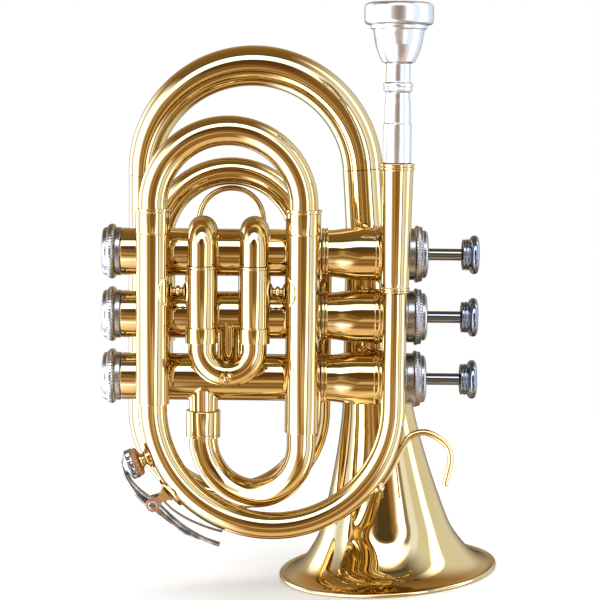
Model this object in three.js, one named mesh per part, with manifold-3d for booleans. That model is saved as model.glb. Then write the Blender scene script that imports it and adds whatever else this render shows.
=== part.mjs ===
// A pocket trumpet standing on its bell, built from its tubes, valves, slides and fittings.
// Lengths are millimetres, angles are degrees until they are used, and +Z is up.
// The instrument's own frame has X along the valves towards the buttons, Y away from the
// player's right hand side, and Z along the leadpipe. Its origin is where the right tuning
// sleeve's axis passes the middle valve. The bell stands upright, so that frame leans with it.
import * as THREE from 'three';
import { mergeVertices } from 'three/addons/utils/BufferGeometryUtils.js';
import Module from 'manifold-3d';

const wasm = await Module();
wasm.setup();

// How finely round things are cut
const tubeSides = 10;
const turnedSides = 12;
const bellSides = 20;
const wireSides = 6;
const bowSteps = 6; // in half a turn

// Clearances
const seatGap = 0.3; // between pieces that touch
const slideGap = 0.32; // between a slide's leg and its sleeve
const overrun = 1; // how far a cutter passes what it cuts
const mergeDistance = 1e-4; // under which two corners are one

// Room between the tube layers, which stand one behind the other
const frontGap = 1.6; // from the valve casings to the tuning sleeves' collars
const thirdGap = 0.4; // from the valve casings to the third slide's sleeves
const tailGap = 0.4; // from the third slide's sleeves to the tail

// Valves
const valveSpacing = 26.1;
const casingDiameter = 19.5;
const casingWall = 1.2;
const casingFoot = -74.9; // X of the lower casing's bottom end
const casingHead = 7.3; // X of the lower casing's top end
const upperLength = 32.5;
const upperDiameter = 22;
const upperNeckDiameter = 19.1;
const upperConeLength = 11.4;
const upperRingLength = 2.5;
const upperRingInset = 10.4; // from the upper casing's head to the ring's foot
const upperBeadLength = 1.4;
const upperBeadDiameter = 21.2;
const pistonTravel = 14.1;
const pistonLength = 64;
const pistonFoot = -60.6;
const pistonWall = 0.8;
const portDiameter = 9.6;
const portPlaces = [[-49, -60], [-32, 20], [-14, 70]]; // X and tilt of a piston's passages
const stemDiameter = 4.8;
const buttonDiameter = 16.2;
const buttonHeight = 6.7;
const buttonNeckDiameter = 9.6;
const buttonRimHeight = 3.6;
const topCapDiameter = 23.7;
const topCapHeight = 11.2;
const topCapFootDiameter = 21.4;
const topCapFootHeight = 5.9;
const topCapCrownDiameter = 19.6;
const topCapKnurlHeight = 3;
const bottomCapDiameter = 22.9;
const bottomCapHeight = 7.8;
const bottomCapEndDiameter = 20.2;
const bottomCapKnurlHeight = 3.2;
const capWall = 1.6;
const guideThickness = 2.4;
const springDiameter = 11.6;
const springWall = 1.3;
const springSeatThickness = 1.6;

// Leadpipe and mouthpiece
const leadpipeInset = 2.8; // from the upper casings' heads back to its axis
const leadpipeStartDiameter = 9.8;
const leadpipeWall = 0.6;
const leadpipeTop = 11.5;
const leadpipeInsertion = 6; // in the left tuning sleeve's foot
const leadpipeBowHeight = -35.9; // Z of the centre of its bow
const receiverHeight = 64.1;
const receiverFoot = 11.8;
const receiverTopDiameter = 13.6;
const receiverFootDiameter = 11.1;
const receiverBeadDiameter = 14.3;
const receiverBeadHeight = 2.7;
const receiverRingDiameter = 12.2;
const receiverRingHeight = 2.3;
const mouthpieceRimDiameter = 27.8;
const mouthpieceRimHeight = 8.8;
const mouthpieceHeight = 64.2; // above the receiver
const mouthpieceInsertion = 24;
const mouthpieceThroatDiameter = 3.7;
const mouthpieceCupDiameter = 16.3;
const mouthpieceCupDepth = 11.5;
const shankDiameter = 11;
const shankTipDiameter = 9.2;
const shankBore = 6.4;
// The mouthpiece's outside between the receiver and the rim: share of its height above the
// receiver and share of the rim's radius
const mouthpieceShares = [
  [0.005, 0.414], [0.245, 0.412], [0.25, 0.381], [0.37, 0.375], [0.44, 0.342], [0.46, 0.4],
  [0.5, 0.44], [0.53, 0.345], [0.62, 0.35], [0.631, 0.475], [0.69, 0.6], [0.737, 0.67],
  [0.832, 0.741], [0.832, 0.817],
];

// Main tuning slide
const tuningSpan = 60.9;
const sleeveDiameter = 13.75;
const sleeveWall = 0.6;
const sleeveCollarDiameter = 14.3;
const sleeveCollarHeight = 10.3;
const tuningBowHeight = 46.2; // Z of the centre of the tuning bow
const sleeveTop = 45;
const leftSleeveRise = 1.3; // from the leadpipe's bow to its foot
const rightSleeveFoot = -45.8;
const tuningInsertion = 46;
const slideWall = 0.5;

// Inlet from the tuning slide to valve 3
const inletAcross = -40.9;
const inletDepth = -3;
const inletDiameter = 12;
const inletBowRise = 11.93; // from the lowest point of the leadpipe's bow to that of its own
const ferruleWall = 0.8;
const ferruleStand = 3.75; // from its top to the casing
const ferruleStart = 0.2; // above the end of the inlet's bow

// First slide, in front, midway between the tuning sleeves
const firstSpanShare = 0.3465; // of the tuning slide's span
const firstTubeDiameter = 11.8;
const firstSleeveDiameter = 12.7;
const firstCollarDiameter = 13.3;
const firstCollarHeight = 6.5;
const firstSleeveTop = 21.8;
const firstSleeveFoot = -9.4;
const firstElbowRise = 50; // degrees by which its elbows rise from the casing
const firstElbowRadius = 6.9;
const firstInsertion = 25;
const firstBowHeight = -11.8;
const knobDiameter = 5;
const knobTipDiameter = 1.8;
const knobTipLength = 1.4;

// Second slide, behind
const secondGap = 1.9; // from the third slide's left sleeve to its own
const secondSpan = 19;
const secondSleeveDepth = 18.5;
const secondInsertion = 7;
const secondBowDepth = 19.6;

// Third slide, behind
const thirdTubeDiameter = 11.5;
const thirdSleeveDiameter = 13.3;
const thirdInward = 8; // how far its elbows lean in to their ports
const thirdBowRise = 8; // from its sleeves' tops to its bow
const thirdSleeveFoot = -13;
const thirdElbowRadius = 8.4;
const thirdTipGap = 5.8; // from its legs' tips to the step at their sleeves' feet
const ringWire = 2.3;
const ringShare = 0.4433; // its diameter's share of the slide's span
const ringGap = 0.65; // between it and the outlet tube

// Tail, from valve 1 round to the bell
const tailDiameter = 12.3;
const tailWall = 0.6;
const tailRight = 6.4;
const tailSpan = 75.4;
const tailBowHeight = -45.5;
const outletGap = 1.12; // from the third slide's right leg to its port in valve 1
const outletBendShare = 0.5155; // its first bend's part of the way across to the tail
const outletFoot = -30;

// Bell
const bellLean = 4.3; // degrees between the bell and the leadpipe
const bellDiameter = 95;
const bellLength = 175.6;
const bellThroatDiameter = 17.2;
const bellWall = 0.6;
const bellBead = 1.7;
const bellBowEarliness = 1.7; // how much sooner than its end the bow has its full width
const bellAcross = 38.5; // X of the rim's centre
const bellRimHeight = -115; // Z of the rim's centre
// Radius of the bell, as a share of the rim's, at shares of its length above the rim
const bellFlareShares = [
  [0.0095, 0.94], [0.0175, 0.865], [0.03, 0.795], [0.049, 0.733], [0.085, 0.648], [0.15, 0.549],
  [0.24, 0.46], [0.356, 0.363], [0.585, 0.268], [0.877, 0.186], [1, 0.1815],
];

// Braces, hook and water key
const braceHeight = 11.8;
const braceDiameter = 3.4;
const braceFlangeDiameter = 11.6;
const braceFlangeThickness = 0.8;
const bellBraceDiameter = 4;
const leadpipeBraceDiameter = 4;
const hookWire = 2.7;
const hookReach = 29.3; // across, from its foot to its far side
const hookHeight = 22.7;
// Points of the hook, as shares of its reach and of its height above its foot
const hookShares = [
  [-0.03, -0.06], [0.15, 0.278], [0.355, 0.793], [0.464, 0.958], [0.659, 1], [0.857, 0.874],
  [0.969, 0.711], [1, 0.491], [0.962, 0.233], [0.925, 0.033],
];
const hookFootAngle = -36.5;
const hookFootDiameter = 6;
const keyNippleAngle = 202.6;
const keyNippleDiameter = 6.4;
const keyNippleHeight = 3.6;
const keyNippleBore = 2.6;
const keyCupDiameter = 12.6;
const keyCupHeight = 6.4;
const keyPivotAngle = 219.6;
const keyPivotHeight = 8.2; // above the bow's surface
const keyPinDiameter = 2.2;
const keyBarrelDiameter = 5;
const keyBarrelWidth = 5.4;
const keyCheekThickness = 1.3;
const keyCheekDiameter = 5.8;
const keySaddleAngle = 13; // degrees of the bow that the saddle covers
const keySaddleThickness = 1;
const keyLeverWidth = 5;
const keyLeverHeight = 11.4; // of the arm's outer edge above the bow's surface
// The lever's middle line and thickness: degrees round the bow, share of its height, thickness share
const keyLeverShares = [
  [200.5, 0.93, 0.12], [205, 1, 0.16], [210, 0.98, 0.22], [215, 0.9, 0.32], [219.6, 0.76, 0.4],
  [225, 0.72, 0.33], [233, 0.69, 0.26], [241, 0.63, 0.16], [249.5, 0.56, 0.12],
];

// Places that follow from these sizes
const frontDepth = -(casingDiameter / 2 + frontGap + sleeveCollarDiameter / 2);
const thirdDepth = casingDiameter / 2 + thirdGap + thirdSleeveDiameter / 2;
const backDepth = thirdDepth + thirdSleeveDiameter / 2 + tailGap + tailDiameter / 2;
const leadpipeAcross = casingHead + seatGap + upperLength - leadpipeInset;
const firstSpan = tuningSpan * firstSpanShare;
const firstLeft = -(tuningSpan + firstSpan) / 2;
const secondLeft = (thirdSleeveDiameter + firstSleeveDiameter) / 2 + secondGap - tuningSpan;
const thirdLegRadius = thirdSleeveDiameter / 2 - sleeveWall - slideGap;
const outletAcross = -(thirdLegRadius + outletGap + tailDiameter / 2);
const outletBend = (tailRight - outletAcross) * outletBendShare;
const ringOuter = (tuningSpan * ringShare + ringWire) / 2;
const ringHeight = valveSpacing + Math.sqrt(
  (tailDiameter / 2 + ringGap + ringOuter) ** 2 - (tuningSpan / 2 + outletAcross) ** 2,
);
const thirdBowHeight = ringHeight + ringOuter + seatGap + thirdLegRadius - tuningSpan / 2;
const thirdSleeveTop = thirdBowHeight - thirdBowRise;
const leftSleeveFoot = leadpipeBowHeight + leftSleeveRise;

// Finishes
function metal(colour, roughness) {
  return new THREE.MeshStandardMaterial({ color: colour, metalness: 1, roughness });
}
const goldLacquer = () => metal('#d9a441', 0.12);
const silverPlate = () => metal('#e6e7e9', 0.1);
const dullNickel = () => metal('#a9a9a6', 0.35);
const chrome = () => metal('#cfd1d4', 0.08);
const springSteel = () => metal('#8f9296', 0.3);

const trumpet = new THREE.Group();
const instrument = new THREE.Group();
const lean = THREE.MathUtils.degToRad(bellLean);
instrument.rotation.y = lean;
trumpet.add(instrument);

function vector(x, y, z) {
  return new THREE.Vector3(x, y, z);
}
const alongX = vector(1, 0, 0);
const alongY = vector(0, 1, 0);
const alongZ = vector(0, 0, 1);

// Shapes
// Volume of a closed mesh by the sum of its signed tetrahedra.
function signedVolume(geometry) {
  const points = geometry.getAttribute('position');
  const index = geometry.getIndex();
  const corners = [new THREE.Vector3(), new THREE.Vector3(), new THREE.Vector3()];
  let volume = 0;
  for (let i = 0; i < index.count; i += 3) {
    corners.forEach((corner, k) => corner.fromBufferAttribute(points, index.getX(i + k)));
    volume += corners[0].dot(corners[1].clone().cross(corners[2]));
  }
  return volume;
}

// Merges a mesh's shared vertices, drops its empty triangles and turns its faces outwards.
function closed(geometry) {
  geometry.deleteAttribute('normal');
  geometry.deleteAttribute('uv');
  const merged = mergeVertices(geometry, mergeDistance);
  const index = Array.from(merged.getIndex().array);
  const kept = [];
  for (let i = 0; i < index.length; i += 3) {
    const [a, b, c] = index.slice(i, i + 3);
    if (a !== b && b !== c && a !== c) kept.push(a, b, c);
  }
  merged.setIndex(kept);
  if (signedVolume(merged) < 0) {
    for (let i = 0; i < kept.length; i += 3) [kept[i], kept[i + 1]] = [kept[i + 1], kept[i]];
    merged.setIndex(kept);
  }
  merged.computeVertexNormals();
  return merged;
}

// A turned piece: its profile's [place along the axis, radius] pairs close on themselves or
// end on the axis. The axis is X, Y or Z.
function turned(profile, axis, sides = turnedSides) {
  const outline = profile.map(([along, radius]) => new THREE.Vector2(radius, along));
  const first = outline[0];
  if (first.x > 0) outline.push(first.clone());
  const geometry = new THREE.LatheGeometry(outline, sides);
  if (axis === alongX) geometry.rotateZ(-Math.PI / 2);
  if (axis === alongZ) geometry.rotateX(Math.PI / 2);
  return closed(geometry);
}

// Two stations, at the ends of a straight run.
function run(from, to) {
  const direction = to.clone().sub(from).normalize();
  return [{ point: from, direction }, { point: to, direction }];
}

// Stations round an arc: centre + radius (cos angle * u + sin angle * v).
function bend(centre, u, v, radius, startAngle, endAngle, steps) {
  const stations = [];
  for (let i = 0; i <= steps; i++) {
    const angle = THREE.MathUtils.degToRad(startAngle + ((endAngle - startAngle) * i) / steps);
    const out = u.clone().multiplyScalar(Math.cos(angle)).addScaledVector(v, Math.sin(angle));
    const direction = u.clone().multiplyScalar(-Math.sin(angle)).addScaledVector(v, Math.cos(angle));
    if (endAngle < startAngle) direction.negate();
    stations.push({ point: centre.clone().addScaledVector(out, radius), direction });
  }
  return stations;
}

// Stations along a smooth curve through points.
function through(points, steps) {
  const curve = new THREE.CatmullRomCurve3(points, false, 'centripetal');
  const stations = [];
  for (let i = 0; i <= steps; i++) {
    stations.push({ point: curve.getPointAt(i / steps), direction: curve.getTangentAt(i / steps) });
  }
  return stations;
}

// Gives stations an outer and a bore radius, each a number or a function of the share of
// the way along.
function bored(stations, outer, bore) {
  let length = 0;
  const reached = stations.map((station, i) => {
    if (i > 0) length += station.point.distanceTo(stations[i - 1].point);
    return length;
  });
  const valueAt = (radius, i) => (typeof radius === 'function' ? radius(reached[i] / length) : radius);
  return stations.map((station, i) => (
    { ...station, outer: valueAt(outer, i), bore: valueAt(bore, i) }
  ));
}

// A tube swept through stations: each ring turns as little as it can from the ring before.
// A bore of zero gives a solid rod.
function swept(stations, sides = tubeSides) {
  const places = [];
  const faces = [];
  const hollow = stations[0].bore > 0;
  let side = Math.abs(stations[0].direction.y) < 0.9 ? alongY.clone() : alongX.clone();
  const ringStarts = [];
  for (const { point, direction, outer, bore } of stations) {
    side.addScaledVector(direction, -side.dot(direction)).normalize();
    const up = direction.clone().cross(side);
    ringStarts.push(places.length / 3);
    for (const radius of hollow ? [outer, bore] : [outer]) {
      for (let k = 0; k < sides; k++) {
        const angle = (2 * Math.PI * k) / sides;
        const corner = point.clone().addScaledVector(side, radius * Math.cos(angle));
        corner.addScaledVector(up, radius * Math.sin(angle));
        places.push(corner.x, corner.y, corner.z);
      }
    }
  }
  const quad = (a, b, c, d) => faces.push(a, b, c, a, c, d);
  const rings = ringStarts.length;
  for (let k = 0; k < sides; k++) {
    const next = (k + 1) % sides;
    for (let i = 0; i + 1 < rings; i++) {
      const [here, there] = [ringStarts[i], ringStarts[i + 1]];
      quad(here + k, here + next, there + next, there + k);
      if (hollow) quad(here + sides + next, here + sides + k, there + sides + k, there + sides + next);
    }
  }
  for (const [start, isEnd] of [[ringStarts[0], false], [ringStarts[rings - 1], true]]) {
    for (let k = 0; k < sides; k++) {
      const next = (k + 1) % sides;
      if (hollow && isEnd) quad(start + k, start + next, start + sides + next, start + sides + k);
      if (hollow && !isEnd) quad(start + next, start + k, start + sides + k, start + sides + next);
      if (!hollow && k > 0 && next > 0 && isEnd) faces.push(start, start + k, start + next);
      if (!hollow && k > 0 && next > 0 && !isEnd) faces.push(start, start + next, start + k);
    }
  }
  const geometry = new THREE.BufferGeometry();
  geometry.setAttribute('position', new THREE.Float32BufferAttribute(places, 3));
  geometry.setIndex(faces);
  return closed(geometry);
}

function solidOf(geometry) {
  const mesh = new wasm.Mesh({
    numProp: 3,
    vertProperties: new Float32Array(geometry.getAttribute('position').array),
    triVerts: new Uint32Array(geometry.getIndex().array),
  });
  mesh.merge();
  return new wasm.Manifold(mesh);
}

function geometryOf(solid) {
  const mesh = solid.getMesh();
  const geometry = new THREE.BufferGeometry();
  geometry.setAttribute('position', new THREE.BufferAttribute(mesh.vertProperties, mesh.numProp));
  geometry.setIndex(new THREE.BufferAttribute(mesh.triVerts, 1));
  return closed(geometry);
}

// A geometry with others cut away from it.
function cutBy(geometry, ...cutters) {
  return geometryOf(cutters.reduce((solid, cutter) => solid.subtract(solidOf(cutter)), solidOf(geometry)));
}

function joined(geometry, ...others) {
  return geometryOf(others.reduce((solid, other) => solid.add(solidOf(other)), solidOf(geometry)));
}

function place(name, geometry, material, position = vector(0, 0, 0)) {
  const mesh = new THREE.Mesh(geometry, material);
  mesh.name = name;
  mesh.position.copy(position);
  instrument.add(mesh);
  return mesh;
}

// Valves
const valveHeights = [valveSpacing, 0, -valveSpacing];
const casingRadius = casingDiameter / 2;
const casingBore = casingRadius - casingWall;
const upperFoot = casingHead + seatGap;
const upperHead = upperFoot + upperLength;
const upperBore = upperNeckDiameter / 2 - casingWall;
const topCapFoot = upperHead + seatGap;
const topCapHead = topCapFoot + topCapHeight;
const feltGap = pistonTravel + seatGap;
const buttonFoot = topCapHead + feltGap;

// What is left of a cylinder round a casing, to trim a tube's end to it
function casingCutter(height) {
  const radius = casingRadius + seatGap;
  const cutter = turned([
    [casingFoot - overrun, 0], [casingFoot - overrun, radius], [casingHead, radius], [casingHead, 0],
  ], alongX, 2 * tubeSides);
  return cutter.translate(0, 0, height);
}

function lowerCasing(ports) {
  const shell = turned([
    [casingFoot, casingBore], [casingFoot, casingRadius], [casingHead, casingRadius],
    [casingHead, casingBore],
  ], alongX, 2 * tubeSides);
  return cutBy(shell, ...ports);
}

function upperCasing() {
  const beadRadius = upperBeadDiameter / 2;
  const neckRadius = upperNeckDiameter / 2;
  const radius = upperDiameter / 2;
  const beadShare = 0.3;
  const coneFoot = upperFoot + 2 * upperBeadLength;
  const coneHead = coneFoot + upperConeLength;
  const ringFoot = upperHead - upperRingInset;
  const ringHead = ringFoot + upperRingLength;
  return turned([
    [upperFoot, upperBore], [upperFoot, neckRadius],
    [upperFoot + upperBeadLength * beadShare, beadRadius],
    [upperFoot + upperBeadLength, beadRadius - (beadRadius - neckRadius) * beadShare],
    [coneFoot - upperBeadLength * beadShare, beadRadius], [coneFoot, neckRadius],
    [coneHead, radius - casingWall * beadShare], [coneHead + casingWall * beadShare, radius],
    [ringFoot, radius], [ringFoot + upperRingLength / 4, radius + casingWall / 2],
    [ringHead - upperRingLength / 4, radius + casingWall / 2], [ringHead, radius],
    [upperHead, radius], [upperHead, upperBore],
  ], alongX);
}

function bottomCap() {
  const radius = bottomCapDiameter / 2;
  const endRadius = bottomCapEndDiameter / 2;
  const head = casingFoot - seatGap;
  const foot = head - bottomCapHeight;
  const knurlFoot = head - (bottomCapHeight + bottomCapKnurlHeight) / 2;
  const knurlHead = knurlFoot + bottomCapKnurlHeight;
  const inside = casingBore;
  return turned([
    [foot, 0], [foot, endRadius - capWall / 2], [foot + capWall / 2, endRadius],
    [knurlFoot - capWall / 2, endRadius], [knurlFoot, radius], [knurlHead, radius],
    [knurlHead + capWall / 2, endRadius], [head, endRadius], [head, inside],
    [foot + capWall, inside], [foot + capWall, 0],
  ], alongX);
}

function topCap() {
  const radius = topCapDiameter / 2;
  const footRadius = topCapFootDiameter / 2;
  const crown = topCapCrownDiameter / 2;
  const hole = stemDiameter / 2 + slideGap;
  const knurlFoot = topCapFoot + topCapFootHeight;
  const knurlHead = knurlFoot + topCapKnurlHeight;
  const step = capWall / 4;
  return turned([
    [topCapFoot, upperBore], [topCapFoot, footRadius], [knurlFoot - step, footRadius],
    [knurlFoot, radius - step], [knurlFoot + step, radius], [knurlHead - step, radius],
    [knurlHead, radius - step], [knurlHead + step, crown], [topCapHead - step, crown],
    [topCapHead, crown - step], [topCapHead, hole], [topCapHead - 2 * capWall, hole],
    [topCapHead - 2 * capWall, upperBore],
  ], alongX);
}

// The piston with its spring barrel's head and its stem. Pushed in, it moves towards -X.
const pistonRadius = casingBore - slideGap;
const pistonHead = pistonFoot + pistonLength;
const guideFoot = pistonHead + seatGap;
const guideHead = guideFoot + guideThickness;
const springSeatHead = topCapHead - 2 * capWall - seatGap;
const springSeatFoot = springSeatHead - springSeatThickness;

function piston() {
  const stemRadius = stemDiameter / 2;
  const inside = pistonRadius - pistonWall;
  const body = turned([
    [pistonFoot, inside], [pistonFoot, pistonRadius], [pistonHead, pistonRadius],
    [pistonHead, stemRadius], [springSeatFoot, stemRadius], [springSeatFoot, springDiameter / 2],
    [springSeatHead, springDiameter / 2], [springSeatHead, stemRadius],
    [buttonFoot - seatGap, stemRadius], [buttonFoot - seatGap, 0],
    [pistonHead - pistonWall, 0], [pistonHead - pistonWall, inside],
  ], alongX);
  const passages = portPlaces.map(([across, angle]) => {
    const turn = THREE.MathUtils.degToRad(angle);
    const toSide = vector(0, Math.cos(turn), Math.sin(turn)).multiplyScalar(casingRadius);
    const middle = vector(across, 0, 0);
    return run(middle.clone().sub(toSide), middle.clone().add(toSide));
  });
  const drills = passages.map((stations) => swept(bored(stations, portDiameter / 2, 0), turnedSides / 2));
  return cutBy(body, ...drills);
}

function fingerButton() {
  const radius = buttonDiameter / 2;
  const neck = buttonNeckDiameter / 2;
  const head = buttonFoot + buttonHeight;
  const rimFoot = head - buttonRimHeight;
  const soft = buttonRimHeight / 4;
  const dish = buttonRimHeight / 5;
  return turned([
    [buttonFoot, 0], [buttonFoot, radius - 2 * soft], [buttonFoot + soft, radius - soft],
    [rimFoot - soft, neck], [rimFoot, radius - soft], [rimFoot + soft, radius],
    [head - soft, radius], [head, radius - soft], [head - dish, radius - 3 * soft], [head - dish, 0],
  ], alongX);
}

function valveGuide() {
  const outer = pistonRadius;
  const inner = stemDiameter / 2 + slideGap;
  return turned([
    [guideFoot, inner], [guideFoot, outer], [guideHead, outer], [guideHead, inner],
  ], alongX);
}

function valveSpring() {
  const foot = guideHead + seatGap;
  const head = springSeatFoot - seatGap;
  const outer = springDiameter / 2;
  const inner = outer - springWall;
  return turned([[foot, inner], [foot, outer], [head, outer], [head, inner]], alongX, tubeSides);
}

// Slides and their sleeves
const sleeveRadius = sleeveDiameter / 2;
const sleeveBore = sleeveRadius - sleeveWall;
const legRadius = sleeveBore - slideGap;
const legBore = legRadius - slideWall;
const tuningLeft = -tuningSpan;

// Leadpipe and mouthpiece
const leadpipeBowRadius = (leadpipeAcross - tuningLeft) / 2;
const leadpipeBowCentre = vector((leadpipeAcross + tuningLeft) / 2, frontDepth, leadpipeBowHeight);
const leadpipeStations = [
  { point: vector(leadpipeAcross, frontDepth, leadpipeTop), direction: alongZ.clone().negate() },
  ...bend(leadpipeBowCentre, alongX, alongZ, leadpipeBowRadius, 0, -180, 2 * bowSteps),
  { point: vector(tuningLeft, frontDepth, leftSleeveFoot + leadpipeInsertion), direction: alongZ },
];
const leadpipeGrowth = legRadius - leadpipeStartDiameter / 2;
const leadpipeOuter = (share) => leadpipeStartDiameter / 2 + leadpipeGrowth * share;
const leadpipeBore = (share) => leadpipeOuter(share) - leadpipeWall;

// The radius of the leadpipe where its bow has turned to an angle from +X.
function leadpipeRadiusAt(angle) {
  const straight = leadpipeTop - leadpipeBowHeight;
  const turnedLength = THREE.MathUtils.degToRad(angle < 0 ? -angle : 360 - angle) * leadpipeBowRadius;
  return leadpipeOuter((straight + turnedLength) / (straight + Math.PI * leadpipeBowRadius));
}

function leadpipe() {
  return swept(bored(leadpipeStations, leadpipeOuter, leadpipeBore));
}

function receiver() {
  const top = receiverTopDiameter / 2;
  const foot = receiverFootDiameter / 2;
  const bead = receiverBeadDiameter / 2;
  const ring = receiverRingDiameter / 2;
  const bore = shankDiameter / 2 + slideGap;
  const lowBore = leadpipeStartDiameter / 2 - leadpipeWall;
  const boreFoot = receiverHeight - mouthpieceInsertion - seatGap;
  const beadFoot = receiverHeight - receiverBeadHeight;
  const ringHead = receiverFoot + receiverRingHeight;
  const beadStep = receiverBeadHeight / 4;
  const ringStep = receiverRingHeight / 4;
  return turned([
    [receiverFoot, lowBore], [receiverFoot, foot], [receiverFoot + ringStep, ring],
    [receiverFoot + 2 * ringStep, foot], [receiverFoot + 3 * ringStep, ring], [ringHead, foot],
    [beadFoot, top], [beadFoot + beadStep, bead], [beadFoot + 2 * beadStep, top],
    [beadFoot + 3 * beadStep, bead], [receiverHeight, top], [receiverHeight, bore],
    [boreFoot, shankTipDiameter / 2 + slideGap], [boreFoot, lowBore],
  ], alongZ);
}

function mouthpiece() {
  const rim = mouthpieceRimDiameter / 2;
  const top = receiverHeight + mouthpieceHeight;
  const foot = receiverHeight - mouthpieceInsertion;
  const at = ([height, radius]) => [receiverHeight + mouthpieceHeight * height, rim * radius];
  const rimFoot = top - mouthpieceRimHeight;
  const soft = mouthpieceRimHeight / 5;
  const cup = mouthpieceCupDiameter / 2;
  const throat = mouthpieceThroatDiameter / 2;
  const throatTop = top - mouthpieceCupDepth;
  return turned([
    [foot, shankBore / 2], [foot, shankTipDiameter / 2], [receiverHeight, shankDiameter / 2],
    ...mouthpieceShares.map(at), [rimFoot, rim * 0.817], [rimFoot + soft, rim],
    [top - 2 * soft, rim], [top - soft / 2, rim - soft / 2], [top, rim - 2 * soft],
    [top - soft / 2, cup + soft / 2], [top - 2 * soft, cup],
    [top - mouthpieceCupDepth * 0.55, cup * 0.82], [throatTop + soft, cup * 0.42],
    [throatTop - soft, throat], [throatTop - 2 * mouthpieceCupDepth, throat],
  ], alongZ, turnedSides);
}

// A straight sleeve along Z with a collar at one end. All places are heights.
function sleeve(foot, head, outer, bore, collar, collarHeight, collarAtHead) {
  const soft = sleeveWall / 2;
  const collarFoot = collarAtHead ? head - collarHeight : foot;
  const collarHead = collarFoot + collarHeight;
  return turned([
    [foot, bore], [foot, outer], [collarFoot, outer], [collarFoot + soft, collar],
    [collarHead - soft, collar], [collarHead, outer], [head, outer], [head, bore],
  ], alongZ, tubeSides);
}

// A slide: two legs and the bow between them, one tube all the way. u and v span its plane,
// v pointing from the legs to the bow. The legs' tips are `reach` behind the bow's centre.
function slide(centre, u, v, radius, reach, outer) {
  const bow = bend(centre, u, v, radius, 180, 0, bowSteps + 2);
  const tipOf = (side) => centre.clone().addScaledVector(u, side * radius).addScaledVector(v, -reach);
  const stations = [
    { point: tipOf(-1), direction: v }, ...bow, { point: tipOf(1), direction: v.clone().negate() },
  ];
  return swept(bored(stations, outer, outer - slideWall));
}

// A thin saddle soldered to an upright tube, on the side that `side` points to along X.
function saddleFlange(tubeRadius, side, height, centre) {
  const inner = tubeRadius + seatGap;
  const outer = inner + braceFlangeThickness;
  const half = braceFlangeDiameter / 2 + overrun;
  const band = turned([[-half, inner], [-half, outer], [half, outer], [half, inner]], alongZ, 2 * tubeSides);
  const reach = side * (outer + overrun);
  const disc = turned([
    [0, 0], [0, braceFlangeDiameter / 2], [reach, braceFlangeDiameter / 2], [reach, 0],
  ], alongX, tubeSides);
  return geometryOf(solidOf(band).intersect(solidOf(disc))).translate(centre.x, centre.y, height);
}

// Building the valves
const knuckleDiameter = 11.8;
const knuckleDepth = -3.4;
const knuckleOneTwo = firstLeft + firstSpan;
const knuckleTwoThree = firstLeft + firstSpan / 2;
const knuckleRadius = knuckleDiameter / 2;
const cutters = valveHeights.map(casingCutter);
const firstTubeRadius = firstTubeDiameter / 2;
const firstBore = firstTubeRadius - slideWall;
const firstSleeveRadius = firstSleeveDiameter / 2;
const firstSleeveBore = firstSleeveRadius - sleeveWall;
const firstLegRadius = firstSleeveBore - slideGap;
const inletRadius = inletDiameter / 2;
const thirdSleeveRadius = thirdSleeveDiameter / 2;
const thirdSleeveBore = thirdSleeveRadius - sleeveWall;
const tailRadius = tailDiameter / 2;
const tailLeft = tailRight - tailSpan;

// First slide: elbows from valve 1, up and forward and then down
function firstElbow(across) {
  const rise = THREE.MathUtils.degToRad(firstElbowRise);
  const radius = firstElbowRadius;
  const out = (-frontDepth - radius * (1 + Math.sin(rise))) / Math.cos(rise);
  const centre = vector(
    across,
    frontDepth + radius,
    valveHeights[0] + out * Math.sin(rise) - radius * Math.cos(rise),
  );
  const arc = bend(centre, alongY, alongZ, radius, 90 - firstElbowRise, 180, bowSteps);
  const inside = vector(across, 0, valveHeights[0]).lerp(arc[0].point, 0.5);
  const foot = vector(across, frontDepth, firstSleeveTop + seatGap);
  return [
    { point: inside, direction: arc[0].direction }, ...arc,
    { point: foot, direction: alongZ.clone().negate() },
  ];
}

// Third slide: a sleeve and the elbow that takes it into valve 3
function thirdSleeveStations(across, inward) {
  const into = vector(inward, -thirdDepth, 0).normalize();
  const at = (height, outer, bore) => ({
    point: vector(across, thirdDepth, height), direction: alongZ.clone().negate(), outer, bore,
  });
  const elbowOuter = thirdTubeDiameter / 2;
  const elbowBore = elbowOuter - slideWall;
  const boreStep = thirdSleeveFoot + overrun;
  const centre = vector(across, thirdDepth, valveHeights[2] + thirdElbowRadius)
    .addScaledVector(into, thirdElbowRadius);
  const bow = bend(
    centre, into.clone().negate(), alongZ.clone().negate(), thirdElbowRadius, 0, 90, bowSteps - 2,
  );
  const last = bow.at(-1).point;
  const inside = last.clone().addScaledVector(into, (casingRadius / 2 - last.y) / into.y);
  const elbow = [...bow, { point: inside, direction: into }]
    .map((station) => ({ ...station, outer: elbowOuter, bore: elbowBore }));
  return [
    at(thirdSleeveTop, thirdSleeveRadius, thirdSleeveBore), at(boreStep, thirdSleeveRadius, thirdSleeveBore),
    at(boreStep, thirdSleeveRadius, elbowBore), at(thirdSleeveFoot, thirdSleeveRadius, elbowBore),
    at(thirdSleeveFoot, elbowOuter, elbowBore), ...elbow,
  ];
}

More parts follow.
